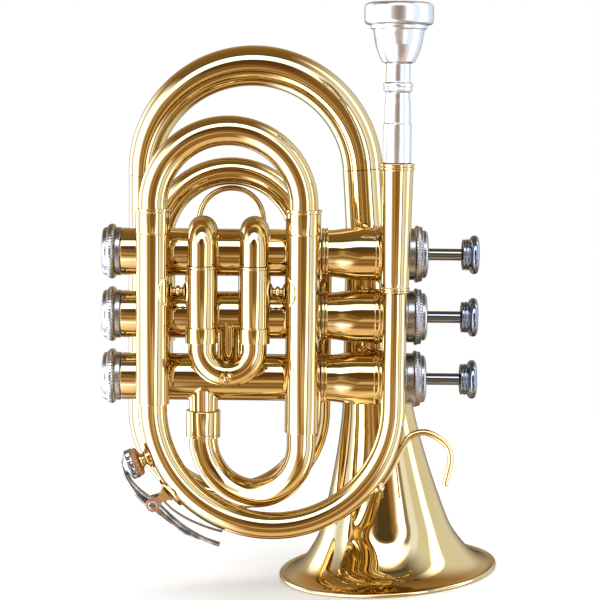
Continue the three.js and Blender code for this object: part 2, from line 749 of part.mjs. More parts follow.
// Tail and outlet: back from valve 1, across, and down to the tail's bottom bow
function outletStations() {
  const height = valveHeights[0];
  const back = vector(outletAcross, backDepth - outletBend, height);
  const bendCentre = back.clone().addScaledVector(alongX, outletBend);
  const first = bend(bendCentre, alongX.clone().negate(), alongY, outletBend, 0, 90, bowSteps / 2);
  const downRadius = tailRight - first.at(-1).point.x;
  const downCentre = vector(tailRight - downRadius, backDepth, height - downRadius);
  const second = bend(downCentre, alongX, alongZ, downRadius, 90, 0, bowSteps / 2);
  const inside = { point: vector(outletAcross, casingRadius / 2, height), direction: alongY };
  const foot = { point: vector(tailRight, backDepth, outletFoot), direction: alongZ.clone().negate() };
  return [inside, ...first, ...second.slice(1), foot];
}

// Bell and its bow
const bellRadius = bellDiameter / 2;
const bellRim = vector(bellAcross, backDepth, bellRimHeight);
const bellUp = vector(-Math.sin(lean), 0, Math.cos(lean));
const bellTop = bellRim.clone().addScaledVector(bellUp, bellLength);
const bellBowRadius = (bellTop.x - tailLeft) / (1 + Math.cos(lean));
const bellBowCentre = vector(
  tailLeft + bellBowRadius, backDepth, bellTop.z - bellBowRadius * Math.sin(lean),
);

// The bell's radius at a height above its rim, along its axis.
function bellRadiusAt(height) {
  const share = height / (bellLength - seatGap);
  const above = bellFlareShares.findIndex(([place]) => place >= share);
  const [lowPlace, lowRadius] = bellFlareShares[above - 1];
  const [highPlace, highRadius] = bellFlareShares[above];
  const part = (share - lowPlace) / (highPlace - lowPlace);
  return bellRadius * (lowRadius + (highRadius - lowRadius) * part);
}

function bell() {
  const top = bellLength - seatGap;
  const outer = bellFlareShares.map(([height, radius]) => [top * height, bellRadius * radius]);
  // Each inner point is a wall's thickness in from the outer one, square to the line through
  // the outer point's neighbours.
  const inner = outer.map(([height, radius], i) => {
    const [lowHeight, lowRadius] = outer[Math.max(i - 1, 0)];
    const [highHeight, highRadius] = outer[Math.min(i + 1, outer.length - 1)];
    const length = Math.hypot(highHeight - lowHeight, highRadius - lowRadius);
    const inset = bellWall / length;
    return [height + (highRadius - lowRadius) * inset, radius - (highHeight - lowHeight) * inset];
  });
  inner.at(-1)[0] = top;
  const bead = bellBead / 2;
  const rim = [
    [1.3 * bead, bellRadius - 1.7 * bead], [1.9 * bead, bellRadius - bead], [bead, bellRadius],
    [0, bellRadius - 0.5 * bead], [0, bellRadius - 1.8 * bead], [0.5 * bead, bellRadius - 2.3 * bead],
  ];
  return turned([...outer.slice().reverse(), ...rim, ...inner], alongZ, bellSides);
}

function bellBow() {
  const start = tailDiameter / 2;
  const growth = bellThroatDiameter / 2 - start;
  const stations = bend(bellBowCentre, alongX, alongZ, bellBowRadius, 180, bellLean, 2 * bowSteps);
  const outer = (share) => start + growth * Math.sin((Math.PI / 2) * Math.min(1, bellBowEarliness * share));
  return swept(bored(stations, outer, (share) => outer(share) - tailWall));
}

function tailBow() {
  const centre = vector((tailLeft + tailRight) / 2, backDepth, tailBowHeight);
  const down = alongZ.clone().negate();
  const top = { point: vector(tailLeft, backDepth, bellBowCentre.z - seatGap), direction: down };
  const bow = bend(centre, alongX, alongZ, tailSpan / 2, 180, 360, bowSteps + 4);
  const end = { point: vector(tailRight, backDepth, outletFoot - seatGap), direction: alongZ };
  return swept(bored([top, ...bow, end], tailRadius, tailRadius - tailWall));
}

// Water key
// The direction out of the leadpipe's bow at an angle from +X.
function outward(angle) {
  const turn = THREE.MathUtils.degToRad(angle);
  return vector(Math.cos(turn), 0, Math.sin(turn));
}
function onBow(angle, height) {
  const distance = leadpipeBowRadius + leadpipeRadiusAt(angle) + height;
  return leadpipeBowCentre.clone().addScaledVector(outward(angle), distance);
}
const leadpipeCutter = swept(bored(leadpipeStations, (share) => leadpipeOuter(share) + seatGap, 0));

// Turns a piece made along Z so that it points out of the bow, and puts it there.
function standOnBow(geometry, angle, height) {
  const out = outward(angle);
  const side = alongY.clone().cross(out);
  const frame = new THREE.Matrix4().makeBasis(side, alongY, out);
  return geometry.applyMatrix4(frame.setPosition(onBow(angle, height)));
}

function keyNipple() {
  const radius = keyNippleDiameter / 2;
  const bore = keyNippleBore / 2;
  const foot = -legRadius / 2;
  const flare = radius + keyNippleBore / 4;
  const rod = turned([
    [foot, bore], [foot, flare], [seatGap, flare], [keyNippleHeight / 2, radius - keyNippleBore / 4],
    [keyNippleHeight * 0.8, radius], [keyNippleHeight, radius], [keyNippleHeight, bore],
  ], alongZ, tubeSides);
  return cutBy(standOnBow(rod, keyNippleAngle, 0), leadpipeCutter);
}

function pinAt(diameter, width) {
  const radius = diameter / 2;
  const half = width / 2;
  const pin = turned([[-half, 0], [-half, radius], [half, radius], [half, 0]], alongY, tubeSides);
  return pin.translate(...onBow(keyPivotAngle, keyPivotHeight).toArray());
}

function keySaddle() {
  const start = keyPivotAngle - keySaddleAngle / 2;
  const tube = leadpipeRadiusAt(keyPivotAngle) + seatGap;
  const arc = bend(
    leadpipeBowCentre, alongX, alongZ, leadpipeBowRadius, start, start + keySaddleAngle, bowSteps / 3,
  );
  const band = swept(bored(arc, tube + keySaddleThickness, tube));
  const inner = swept(bored(
    bend(
      leadpipeBowCentre, alongX, alongZ, leadpipeBowRadius - tube,
      start - keySaddleAngle, start + 2 * keySaddleAngle, bowSteps,
    ),
    tube + keySaddleThickness, 0,
  ));
  const cheek = new THREE.Shape();
  const half = keyCheekDiameter / 2;
  const foot = -keyPivotHeight - tube / 2;
  cheek.moveTo(-half * 1.3, foot);
  cheek.lineTo(half * 1.3, foot);
  cheek.absarc(0, 0, half, 0, Math.PI, false);
  const middle = keyBarrelWidth / 2 + seatGap;
  const cheeks = [middle, -middle - keyCheekThickness].map((offset) => {
    const plate = new THREE.ExtrudeGeometry(cheek, {
      depth: keyCheekThickness, bevelEnabled: false, curveSegments: bowSteps / 2,
    });
    const upright = closed(plate.translate(0, 0, offset).rotateX(Math.PI / 2));
    return standOnBow(upright, keyPivotAngle, keyPivotHeight);
  });
  const pin = pinAt(keyPinDiameter, 2 * (middle + keyCheekThickness));
  return cutBy(joined(cutBy(band, inner), ...cheeks, pin), leadpipeCutter);
}

function waterKey() {
  const outer = [];
  const inner = [];
  for (const [angle, height, thickness] of keyLeverShares) {
    const half = (thickness * keyLeverHeight) / 2;
    outer.push(onBow(angle, height * keyLeverHeight + half));
    inner.unshift(onBow(angle, height * keyLeverHeight - half));
  }
  const corners = [...outer, ...inner].map((point) => new THREE.Vector2(point.x, point.z));
  const outline = new THREE.Shape(corners);
  const arm = new THREE.ExtrudeGeometry(outline, { depth: keyLeverWidth, bevelEnabled: false });
  const lever = closed(arm.rotateX(Math.PI / 2).translate(0, frontDepth + keyLeverWidth / 2, 0));
  const radius = keyCupDiameter / 2;
  const foot = keyNippleHeight + seatGap;
  const cup = turned([
    [foot, 0], [foot, radius], [foot + keyCupHeight * 0.6, radius],
    [foot + keyCupHeight * 0.75, radius * 0.8], [foot + keyCupHeight, radius * 0.5],
    [foot + keyCupHeight, 0],
  ], alongZ, tubeSides);
  const barrel = pinAt(keyBarrelDiameter, keyBarrelWidth);
  const hole = pinAt(keyPinDiameter + 2 * slideGap, keyBarrelWidth + 2 * overrun);
  return cutBy(joined(lever, standOnBow(cup, keyNippleAngle, 0), barrel), hole);
}

function pinkyHook() {
  const foot = onBow(hookFootAngle, 0);
  const points = hookShares.map(([across, up]) => (
    vector(foot.x + hookReach * across, frontDepth, foot.z + hookHeight * up)
  ));
  const wire = swept(bored(through(points, 18), hookWire / 2, 0), wireSides);
  const disc = turned([
    [-hookWire, 0], [-hookWire, hookFootDiameter / 2], [hookWire / 2, hookFootDiameter / 2],
    [hookWire, hookWire / 2], [hookWire, 0],
  ], alongZ, tubeSides);
  return cutBy(joined(wire, standOnBow(disc, hookFootAngle, 0)), leadpipeCutter);
}

// A turned brace between two upright tubes, with a saddle on each
function brace(left, right, leftRadius, rightRadius) {
  const from = left + leftRadius + seatGap + braceFlangeThickness / 2;
  const to = right - rightRadius - seatGap - braceFlangeThickness / 2;
  const radius = braceDiameter / 2;
  const at = (share) => from + (to - from) * share;
  const rod = turned([
    [from, 0], [from, radius], [at(0.25), radius * 0.75], [at(0.4), radius], [at(0.6), radius],
    [at(0.75), radius * 0.75], [to, radius], [to, 0],
  ], alongX, wireSides).translate(0, frontDepth, braceHeight);
  return joined(
    rod,
    saddleFlange(leftRadius, 1, braceHeight, vector(left, frontDepth, 0)),
    saddleFlange(rightRadius, -1, braceHeight, vector(right, frontDepth, 0)),
  );
}

function rod(from, to, diameter, flange) {
  const length = from.distanceTo(to);
  const thickness = Math.min(flange / 6, length / 4);
  const profile = [
    [0, 0], [0, flange / 2], [thickness, flange / 2], [thickness, diameter / 2],
    [length - thickness, diameter / 2], [length - thickness, flange / 2], [length, flange / 2], [length, 0],
  ];
  const turn = new THREE.Quaternion().setFromUnitVectors(alongZ, to.clone().sub(from).normalize());
  return turned(profile, alongZ, tubeSides).applyQuaternion(turn).translate(from.x, from.y, from.z);
}

// Putting the instrument together
const thirdLeft = tuningLeft;
const firstAcross = [firstLeft, firstLeft + firstSpan];
const secondAcross = [secondLeft, secondLeft + secondSpan];
const firstElbows = firstAcross.map(firstElbow);
const thirdSleeves = [
  thirdSleeveStations(thirdLeft, thirdInward), thirdSleeveStations(0, -thirdInward),
];
const outlet = outletStations();
const inletSide = vector(-inletAcross, frontDepth - inletDepth, 0);
const inletBowRadius = inletSide.length() / 2;
inletSide.normalize();
const inletBowHeight = leadpipeBowHeight - leadpipeBowRadius + inletBowRise + inletBowRadius;
const inletFerruleFoot = inletBowHeight + ferruleStart;
const inletFerruleTop = valveHeights[2] - casingRadius - ferruleStand;
const inletFoot = (inletFerruleTop + inletFerruleFoot) / 2;
const inletEntry = run(
  vector(inletAcross, inletDepth, inletFoot + seatGap),
  vector(inletAcross, inletDepth, valveHeights[2]),
);
const knuckles = [[knuckleOneTwo, 0], [knuckleTwoThree, 1]].map(([across, upper]) => run(
  vector(across, knuckleDepth, valveHeights[upper]),
  vector(across, knuckleDepth, valveHeights[upper + 1]),
));
const secondRuns = secondAcross.map((across) => (
  run(vector(across, casingRadius / 2, 0), vector(across, secondSleeveDepth, 0))
));

// The air way of a tube, to drill its casing with
function airway(stations, bore) {
  return swept(bored(stations, bore, 0));
}
const knuckleBore = knuckleRadius - slideWall;
const knuckleAir = knuckles.map((stations) => airway(stations, knuckleBore));
const ports = [
  [
    ...firstElbows.map((stations) => airway(stations.slice(0, 3), firstBore)),
    airway(outlet.slice(0, 2), tailRadius - tailWall), knuckleAir[0],
  ],
  [...knuckleAir, ...secondRuns.map((stations) => airway(stations, firstSleeveBore))],
  [
    ...thirdSleeves.map((stations) => airway(stations.slice(-2), thirdTubeDiameter / 2 - slideWall)),
    airway(inletEntry, inletRadius - slideWall), knuckleAir[1],
  ],
];

valveHeights.forEach((height, i) => {
  const at = vector(0, 0, height);
  const number = i + 1;
  const drilled = ports[i].map((port) => port.clone().translate(0, 0, -height));
  place(`valve_casing_${number}`, lowerCasing(drilled), goldLacquer(), at);
  place(`upper_casing_${number}`, upperCasing(), goldLacquer(), at);
  place(`bottom_cap_${number}`, bottomCap(), dullNickel(), at);
  place(`top_cap_${number}`, topCap(), dullNickel(), at);
  place(`piston_${number}`, piston(), chrome(), at);
  place(`finger_button_${number}`, fingerButton(), chrome(), at);
  place(`valve_guide_${number}`, valveGuide(), dullNickel(), at);
  place(`valve_spring_${number}`, valveSpring(), springSteel(), at);
});

knuckles.forEach((stations, i) => {
  const tube = swept(bored(stations, knuckleRadius, knuckleBore));
  place(`knuckle_${i + 1}_${i + 2}`, cutBy(tube, cutters[i], cutters[i + 1]), goldLacquer());
});

place('mouthpiece', mouthpiece(), silverPlate(), vector(leadpipeAcross, frontDepth, 0));
place('mouthpiece_receiver', receiver(), goldLacquer(), vector(leadpipeAcross, frontDepth, 0));
place('leadpipe', leadpipe(), goldLacquer());

[['left', tuningLeft, leftSleeveFoot], ['right', 0, rightSleeveFoot]].forEach(([side, across, foot]) => {
  const tube = sleeve(
    foot, sleeveTop, sleeveRadius, sleeveBore, sleeveCollarDiameter / 2, sleeveCollarHeight, true,
  );
  place(`${side}_tuning_sleeve`, tube, goldLacquer(), vector(across, frontDepth, 0));
});
place('tuning_slide', slide(
  vector(tuningLeft / 2, frontDepth, tuningBowHeight), alongX, alongZ, tuningSpan / 2,
  tuningBowHeight - sleeveTop + tuningInsertion, legRadius,
), goldLacquer());

const inletCentre = vector(inletAcross / 2, (frontDepth + inletDepth) / 2, inletBowHeight);
const inletArc = bend(inletCentre, inletSide, alongZ, inletBowRadius, 0, -180, bowSteps + 2);
const inletStations = [
  { point: vector(0, frontDepth, rightSleeveFoot + sleeveBore), direction: alongZ.clone().negate() },
  ...inletArc,
  { point: vector(inletAcross, inletDepth, inletFoot), direction: alongZ },
];
place('inlet_bow', swept(bored(inletStations, legRadius, legBore)), goldLacquer());
const ferruleBore = Math.max(inletRadius, legRadius) + seatGap;
place('inlet_ferrule', sleeve(
  inletFerruleFoot, inletFerruleTop, ferruleBore + ferruleWall - sleeveWall / 2, ferruleBore,
  ferruleBore + ferruleWall, inletFerruleTop - inletFerruleFoot, true,
), goldLacquer(), vector(inletAcross, inletDepth, 0));
const inletTube = swept(bored(inletEntry, inletRadius, inletRadius - slideWall));
place('inlet_tube', cutBy(inletTube, cutters[2]), goldLacquer());

['left', 'right'].forEach((side, i) => {
  const elbow = swept(bored(firstElbows[i], firstTubeRadius, firstBore));
  place(`first_elbow_${side}`, cutBy(elbow, cutters[0]), goldLacquer());
  const firstSleeve = sleeve(
    firstSleeveFoot, firstSleeveTop, firstSleeveRadius, firstSleeveBore,
    firstCollarDiameter / 2, firstCollarHeight, false,
  );
  place(`first_sleeve_${side}`, firstSleeve, goldLacquer(), vector(firstAcross[i], frontDepth, 0));
  const secondSleeve = swept(bored(secondRuns[i], firstSleeveRadius, firstSleeveBore));
  place(`second_sleeve_${side}`, cutBy(secondSleeve, cutters[1]), goldLacquer());
  place(`third_sleeve_${side}`, cutBy(swept(thirdSleeves[i]), cutters[2]), goldLacquer());
});
const firstMiddle = firstLeft + firstSpan / 2;
place('first_slide', slide(
  vector(firstMiddle, frontDepth, firstBowHeight), alongX, alongZ.clone().negate(), firstSpan / 2,
  firstSleeveFoot - firstBowHeight + firstInsertion, firstLegRadius,
), goldLacquer());
place('second_slide', slide(
  vector(secondLeft + secondSpan / 2, secondBowDepth, 0), alongX, alongY, secondSpan / 2,
  secondBowDepth - secondSleeveDepth + secondInsertion, firstLegRadius,
), goldLacquer());
const thirdMiddle = vector(thirdLeft / 2, thirdDepth, thirdBowHeight);
place('third_slide', slide(
  thirdMiddle, alongX, alongZ, tuningSpan / 2,
  thirdBowHeight - thirdSleeveFoot - overrun - thirdTipGap, thirdLegRadius,
), goldLacquer());

const ring = new THREE.TorusGeometry(ringOuter - ringWire / 2, ringWire / 2, wireSides, 2 * tubeSides);
place(
  'finger_ring', closed(ring.rotateX(Math.PI / 2)), goldLacquer(),
  vector(thirdMiddle.x, thirdDepth, ringHeight),
);

const knobFoot = firstLegRadius + seatGap;
const knobRadius = knobDiameter / 2;
const knobTip = knobFoot + knobDiameter;
const knob = turned([
  [-knobFoot, 0], [-knobFoot, knobRadius * 0.55], [-knobFoot - knobRadius * 0.4, knobRadius * 0.6],
  [-knobFoot - knobRadius * 0.9, knobRadius], [-knobFoot - knobRadius * 1.5, knobRadius],
  [-knobTip, knobTipDiameter / 2], [-knobTip - knobTipLength, knobTipDiameter / 3],
  [-knobTip - knobTipLength, 0],
], alongY, tubeSides);
const knobPlace = vector(firstMiddle, frontDepth, firstBowHeight - firstSpan / 2);
place('first_slide_knob', knob, goldLacquer(), knobPlace);

const outletTube = swept(bored(outlet, tailRadius, tailRadius - tailWall));
place('outlet_tube', cutBy(outletTube, cutters[0]), goldLacquer());
place('tail_bow', tailBow(), goldLacquer());
place('bell_bow', bellBow(), goldLacquer());
const horn = place('bell', bell(), goldLacquer(), bellRim);
horn.rotation.y = -lean;

place('brace_left', brace(tuningLeft, firstLeft, sleeveRadius, firstSleeveRadius), goldLacquer());
place('brace_right', brace(firstLeft + firstSpan, 0, firstSleeveRadius, sleeveRadius), goldLacquer());
const upperRadius = upperDiameter / 2;
const ringFoot = upperHead - upperRingInset;
const bellBraceAcross = (upperFoot + 2 * upperBeadLength + upperConeLength + ringFoot) / 2;
const bellBraceHeight = bellUp.dot(vector(bellBraceAcross, backDepth, 0).sub(bellRim));
const bellBraceEnd = backDepth - bellRadiusAt(bellBraceHeight) - seatGap;
const leadpipeBraceAcross = (ringFoot + upperRingLength + upperHead) / 2;
const leadpipeSide = Math.sqrt(leadpipeOuter(0) ** 2 - (leadpipeAcross - leadpipeBraceAcross) ** 2);
place('leadpipe_brace', rod(
  vector(leadpipeBraceAcross, -upperRadius - seatGap, 0),
  vector(leadpipeBraceAcross, frontDepth + leadpipeSide + 2 * seatGap, 0),
  leadpipeBraceDiameter, leadpipeBraceDiameter * 1.2,
), goldLacquer());
place('bell_brace', rod(
  vector(bellBraceAcross, upperRadius + seatGap, 0), vector(bellBraceAcross, bellBraceEnd, 0),
  bellBraceDiameter, bellBraceDiameter * 1.8,
), goldLacquer());

place('water_key_seat', keyNipple(), goldLacquer());
place('water_key_saddle', keySaddle(), goldLacquer());
place('water_key', waterKey(), dullNickel());
place('pinky_hook', pinkyHook(), goldLacquer());

// Stand the bell's rim on Z = 0 and put the middle of the bounding box over the origin.
trumpet.updateMatrixWorld(true);
const bounds = new THREE.Box3().setFromObject(trumpet, true);
const middle = bounds.getCenter(new THREE.Vector3());
instrument.position.set(-middle.x, -middle.y, -bounds.min.z);

export default trumpet;
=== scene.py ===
import math

import bmesh
import bpy
import numpy as np
from mathutils import Matrix, Vector


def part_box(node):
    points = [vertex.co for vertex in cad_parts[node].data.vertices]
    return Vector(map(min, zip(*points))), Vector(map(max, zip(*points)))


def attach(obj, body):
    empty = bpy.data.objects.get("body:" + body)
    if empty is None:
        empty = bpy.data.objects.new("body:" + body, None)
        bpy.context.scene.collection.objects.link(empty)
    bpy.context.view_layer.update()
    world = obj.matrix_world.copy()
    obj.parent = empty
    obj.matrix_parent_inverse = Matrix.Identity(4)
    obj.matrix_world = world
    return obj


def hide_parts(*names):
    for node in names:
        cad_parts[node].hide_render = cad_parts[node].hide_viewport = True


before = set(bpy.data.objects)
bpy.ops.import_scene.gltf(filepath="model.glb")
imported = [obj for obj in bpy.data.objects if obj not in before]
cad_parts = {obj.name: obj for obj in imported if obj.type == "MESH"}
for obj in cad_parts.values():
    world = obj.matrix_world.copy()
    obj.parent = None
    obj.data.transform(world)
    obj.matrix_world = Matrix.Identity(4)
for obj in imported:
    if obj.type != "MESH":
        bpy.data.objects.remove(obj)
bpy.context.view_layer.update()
print("frame loaded")

# Lengths are millimetres in the instrument's own frame: X along the valves to the buttons,
# Y away from the side that the camera sees, Z along the leadpipe. That frame leans, because
# the bell stands upright.
mm = 0.001
leanDegrees = 4.3
lean = math.radians(leanDegrees)
turn = np.array([
    [math.cos(lean), 0, math.sin(lean)],
    [0, 1, 0],
    [-math.sin(lean), 0, math.cos(lean)],
])
alongX, alongY, alongZ = np.eye(3)
layers = {"front": -18.5, "third": 16.8, "back": 30}  # the Y of each layer of tubes
valves = {"heights": [26.1, 0, -26.1], "radius": 9.75}
bellLow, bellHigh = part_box("bell")
rimCentre = np.array([38.5, layers["back"], -115])
rimOnFloor = np.array([bellLow.x + bellHigh.x, bellLow.y + bellHigh.y, 0]) / 2 / mm
origin = rimOnFloor - turn @ rimCentre


# Materials
def newMaterial(name):
    material = bpy.data.materials.new(name)
    material.use_nodes = True
    tree = material.node_tree
    return material, tree, tree.nodes["Principled BSDF"]


# Links each input that is given a socket, and sets each one that is given a value
def fill(tree, node, inputs):
    for name, value in inputs.items():
        if isinstance(value, bpy.types.NodeSocket):
            tree.links.new(value, node.inputs[name])
        else:
            node.inputs[name].default_value = value
    return node


# A new shader node with these settings and inputs
def addNode(tree, kind, inputs=None, **settings):
    node = tree.nodes.new(f"ShaderNode{kind}")
    for setting, value in settings.items():
        setattr(node, setting, value)
    return fill(tree, node, inputs or {})


# Fractal noise over the piece's own coordinates, from 0 to 1
def noise(tree, scale, detail):
    place = addNode(tree, "TexCoord").outputs["Object"]
    inputs = {"Vector": place, "Scale": scale, "Detail": detail}
    return addNode(tree, "TexNoise", inputs).outputs["Fac"]


# Colours at stops along a share from 0 to 1
def ramp(tree, share, stops):
    node = addNode(tree, "ValToRGB", {"Fac": share})
    elements = node.color_ramp.elements
    while len(elements) < len(stops):
        elements.new(0.5)
    for element, (place, colour) in zip(elements, stops):
        element.position = place
        element.color = (*colour, 1)
    return node.outputs["Color"]


# The surface's normal, tilted as a height over this distance would tilt it
def bump(tree, height, distance):
    inputs = {"Height": height, "Distance": distance, "Strength": 1}
    return addNode(tree, "Bump", inputs).outputs["Normal"]


# 0 up to low, 1 from high on, and a smooth step between them
def smoothStep(tree, value, low, high):
    inputs = {"Value": value, "From Min": low, "From Max": high}
    return addNode(tree, "MapRange", inputs, interpolation_type="SMOOTHSTEP").outputs["Result"]


# What a metal has unless its own look says otherwise: three noises as (scale, detail), and
# where its tint turns from deep to pale. The swell is in metres.
commonLook = {
    "patches": (28, 2), "wiping": (240, 5), "grain": (90, 1), "tintStops": (0.35, 0.65),
    "coat": {},
}
metalLooks = {
    "gold_lacquer": {
        "pale": (0.94, 0.71, 0.33), "deep": (0.9, 0.66, 0.28), "roughness": (0.012, 0.03),
        "swell": 0.000006, "coat": {"Coat Weight": 0.08, "Coat Roughness": 0.02},
    },
    "red_brass": {
        "pale": (0.86, 0.5, 0.26), "deep": (0.76, 0.4, 0.17), "roughness": (0.3, 0.42),
        "swell": 0.00001,
    },
    "silver_plate": {
        "pale": (0.93, 0.95, 0.97), "deep": (0.89, 0.91, 0.93), "roughness": (0.26, 0.32),
        "swell": 0.000006,
    },
    "dull_nickel": {
        "pale": (0.68, 0.66, 0.63), "deep": (0.44, 0.43, 0.41), "roughness": (0.2, 0.34),
        "swell": 0.00003, "grain": (260, 1),
    },
    "worn_nickel": {
        "pale": (0.86, 0.88, 0.9), "deep": (0.22, 0.23, 0.24), "roughness": (0.12, 0.26),
        "swell": 0.00004, "grain": (420, 1), "patches": (170, 2),
    },
    "bright_chrome": {
        "pale": (0.34, 0.38, 0.45), "deep": (0.3, 0.34, 0.41), "roughness": (0.02, 0.05),
        "swell": 0.000004,
    },
    "spring_steel": {
        "pale": (0.56, 0.57, 0.6), "deep": (0.46, 0.47, 0.5), "roughness": (0.15, 0.25),
        "swell": 0.00001,
    },
    # A near-black metal: painted shade, laid on the screw's head for the dark of its slot
    "painted_slot_shade": {
        "pale": (0.09, 0.09, 0.1), "deep": (0.04, 0.04, 0.05), "roughness": (0.4, 0.5),
        "swell": 0.00001,
    },
}
corkLook = {
    "grain": (1400, 6), "roughness": 0.7, "pits": 0.0001,
    "stops": [(0.3, (0.2, 0.07, 0.02)), (0.55, (0.42, 0.17, 0.05)), (0.75, (0.55, 0.25, 0.09))],
}


# A metal whose tint drifts softly, whose gloss varies with fine wiping marks, and whose
# surface swells and sinks by a hair
def metal(name, ownLook):
    look = {**commonLook, **ownLook}
    material, tree, shader = newMaterial(name)
    stops = list(zip(look["tintStops"], (look["deep"], look["pale"])))
    low, high = look["roughness"]
    gloss = {"Value": noise(tree, *look["wiping"]), "To Min": low, "To Max": high}
    fill(tree, shader, {
        "Metallic": 1,
        "Base Color": ramp(tree, noise(tree, *look["patches"]), stops),
        "Roughness": addNode(tree, "MapRange", gloss).outputs["Result"],
        "Normal": bump(tree, noise(tree, *look["grain"]), look["swell"]),
        **look["coat"],
    })
    return material


def corkMaterial(look):
    material, tree, shader = newMaterial("cork")
    grains = noise(tree, *look["grain"])
    fill(tree, shader, {
        "Base Color": ramp(tree, grains, look["stops"]),
        "Roughness": look["roughness"],
        "Normal": bump(tree, grains, look["pits"]),
    })
    return material


metals = {name: metal(name, look) for name, look in metalLooks.items()}
cork = corkMaterial(corkLook)
slotFinish = {
    "lacquered_brass": metals["gold_lacquer"], "silver_plate": metals["silver_plate"],
    "dull_nickel": metals["dull_nickel"], "chrome": metals["bright_chrome"],
}
print("materials made")

# Shapes: each is an array of points and an array of the quads that join them.
tolerance = {"merged": 1e-7, "samePoint": 1e-3, "sharpFrom": math.radians(40)}


# Each vector divided by its length
def unit(vectors):
    vectors = np.asarray(vectors, float)
    return vectors / np.linalg.norm(vectors, axis=-1, keepdims=True)


# From the instrument's frame to the scene's: turned by the lean, moved, and made metres
def toScene(points):
    return (np.asarray(points, float) @ turn.T + origin) * mm


# Quads of a grid of points: a point, its neighbour in the row, and those two in the next row.
# A row always joins up with its own start, and a looped grid's last row with its first.
def gridQuads(rows, columns, looped=False):
    index = np.arange(rows * columns).reshape(rows, columns)
    across = np.roll(index, -1, 1)
    quads = np.stack([index, across, np.roll(across, -1, 0), np.roll(index, -1, 0)], 2)
    return (quads if looped else quads[:-1]).reshape(-1, 4)


# Several shapes as one: their points in a row, and each one's quads counted on from its start
def together(*shapes):
    starts = np.cumsum([0] + [len(points) for points, _ in shapes[:-1]])
    points = np.vstack([points for points, _ in shapes])
    return points, np.vstack([quads + start for (_, quads), start in zip(shapes, starts)])


# Merges the points that meet at seams and poles, and turns the faces outwards
def closeSeams(mesh):
    work = bmesh.new()
    work.from_mesh(mesh)
    bmesh.ops.remove_doubles(work, verts=work.verts, dist=tolerance["merged"])
    bmesh.ops.recalc_face_normals(work, faces=work.faces)
    work.to_mesh(mesh)
    work.free()


def addObject(name, data):
    thing = bpy.data.objects.new(name, data)
    bpy.context.scene.collection.objects.link(thing)
    return thing


def newMesh(name, points, faces, finish):
    mesh = bpy.data.meshes.new(name)
    mesh.from_pydata(points, [], faces)
    mesh.materials.append(finish)
    return mesh


# A shape as a smooth mesh with its sharp edges marked, on a body of the model. It may stand
# for a node of the solids, which is then hidden.
def meshPiece(name, shape, finish, body="instrument", node=None):
    points, quads = shape
    mesh = newMesh(name, toScene(points).tolist(), quads.tolist(), finish)
    closeSeams(mesh)
    mesh.shade_smooth()
    mesh.set_sharp_from_angle(angle=tolerance["sharpFrom"])
    piece = addObject(name, mesh)
    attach(piece, body)
    if node:
        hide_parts(node)


# A surface shown in place of a node of the solids, in the finish of its slot or in its own
def dress(node, shape, slot="lacquered_brass", body="instrument", finish=None):
    meshPiece(f"{node}_surface", shape, finish or slotFinish[slot], body, node)


# Rounds a profile's corners: each becomes a quadratic curve between points a little way
# along the lines that meet there, at most the longest share of the shorter line.
def rounded(profile, radius, steps=4, longest=0.45):
    profile = np.asarray(profile, float)
    corners = profile[1:-1]
    before, after = profile[:-2] - corners, profile[2:] - corners
    lengthBefore = np.linalg.norm(before, axis=1, keepdims=True)
    lengthAfter = np.linalg.norm(after, axis=1, keepdims=True)
    reach = np.minimum(radius, longest * np.minimum(lengthBefore, lengthAfter))
    start = corners + before / lengthBefore * reach
    end = corners + after / lengthAfter * reach
    t = np.linspace(0, 1, steps + 1)[None, :, None]
    curves = (1 - t) ** 2 * start[:, None] + 2 * t * (1 - t) * corners[:, None]
    curves = (curves + t * t * end[:, None]).reshape(-1, 2)
    return np.vstack([profile[:1], curves, profile[-1:]])


# A profile's own points with more between them, evenly along its length
def refined(profile, step):
    profile = np.asarray(profile, float)
    steps = np.linalg.norm(np.diff(profile, axis=0), axis=1)
    lengths = np.concatenate([[0], np.cumsum(steps)])
    at = np.union1d(lengths, np.arange(0, lengths[-1], step))
    return np.stack([np.interp(at, lengths, profile[:, k]) for k in range(2)], 1)


# A smooth line through a table of [place, value] that never overshoots: cubic between
# neighbours, with slopes that are the weighted harmonic mean of the slopes on both sides
def smoothOf(table, at):
    x, y = np.array(table, float).T
    h = np.diff(x)
    slope = np.diff(y) / h
    low, high = slope[:-1], slope[1:]
    same = low * high > 0
    weightLow, weightHigh = 2 * h[1:] + h[:-1], h[1:] + 2 * h[:-1]
    divisor = weightLow / np.where(same, low, 1) + weightHigh / np.where(same, high, 1)
    inner = np.where(same, (weightLow + weightHigh) / divisor, 0)
    m = np.concatenate([slope[:1], inner, slope[-1:]])
    at = np.asarray(at, float)
    i = np.clip(np.searchsorted(x, at) - 1, 0, len(h) - 1)
    t = (at - x[i]) / h[i]
    return ((1 + 2 * t) * (1 - t) ** 2 * y[i] + t * (1 - t) ** 2 * h[i] * m[i]
            + t * t * (3 - 2 * t) * y[i + 1] + t * t * (t - 1) * h[i] * m[i + 1])


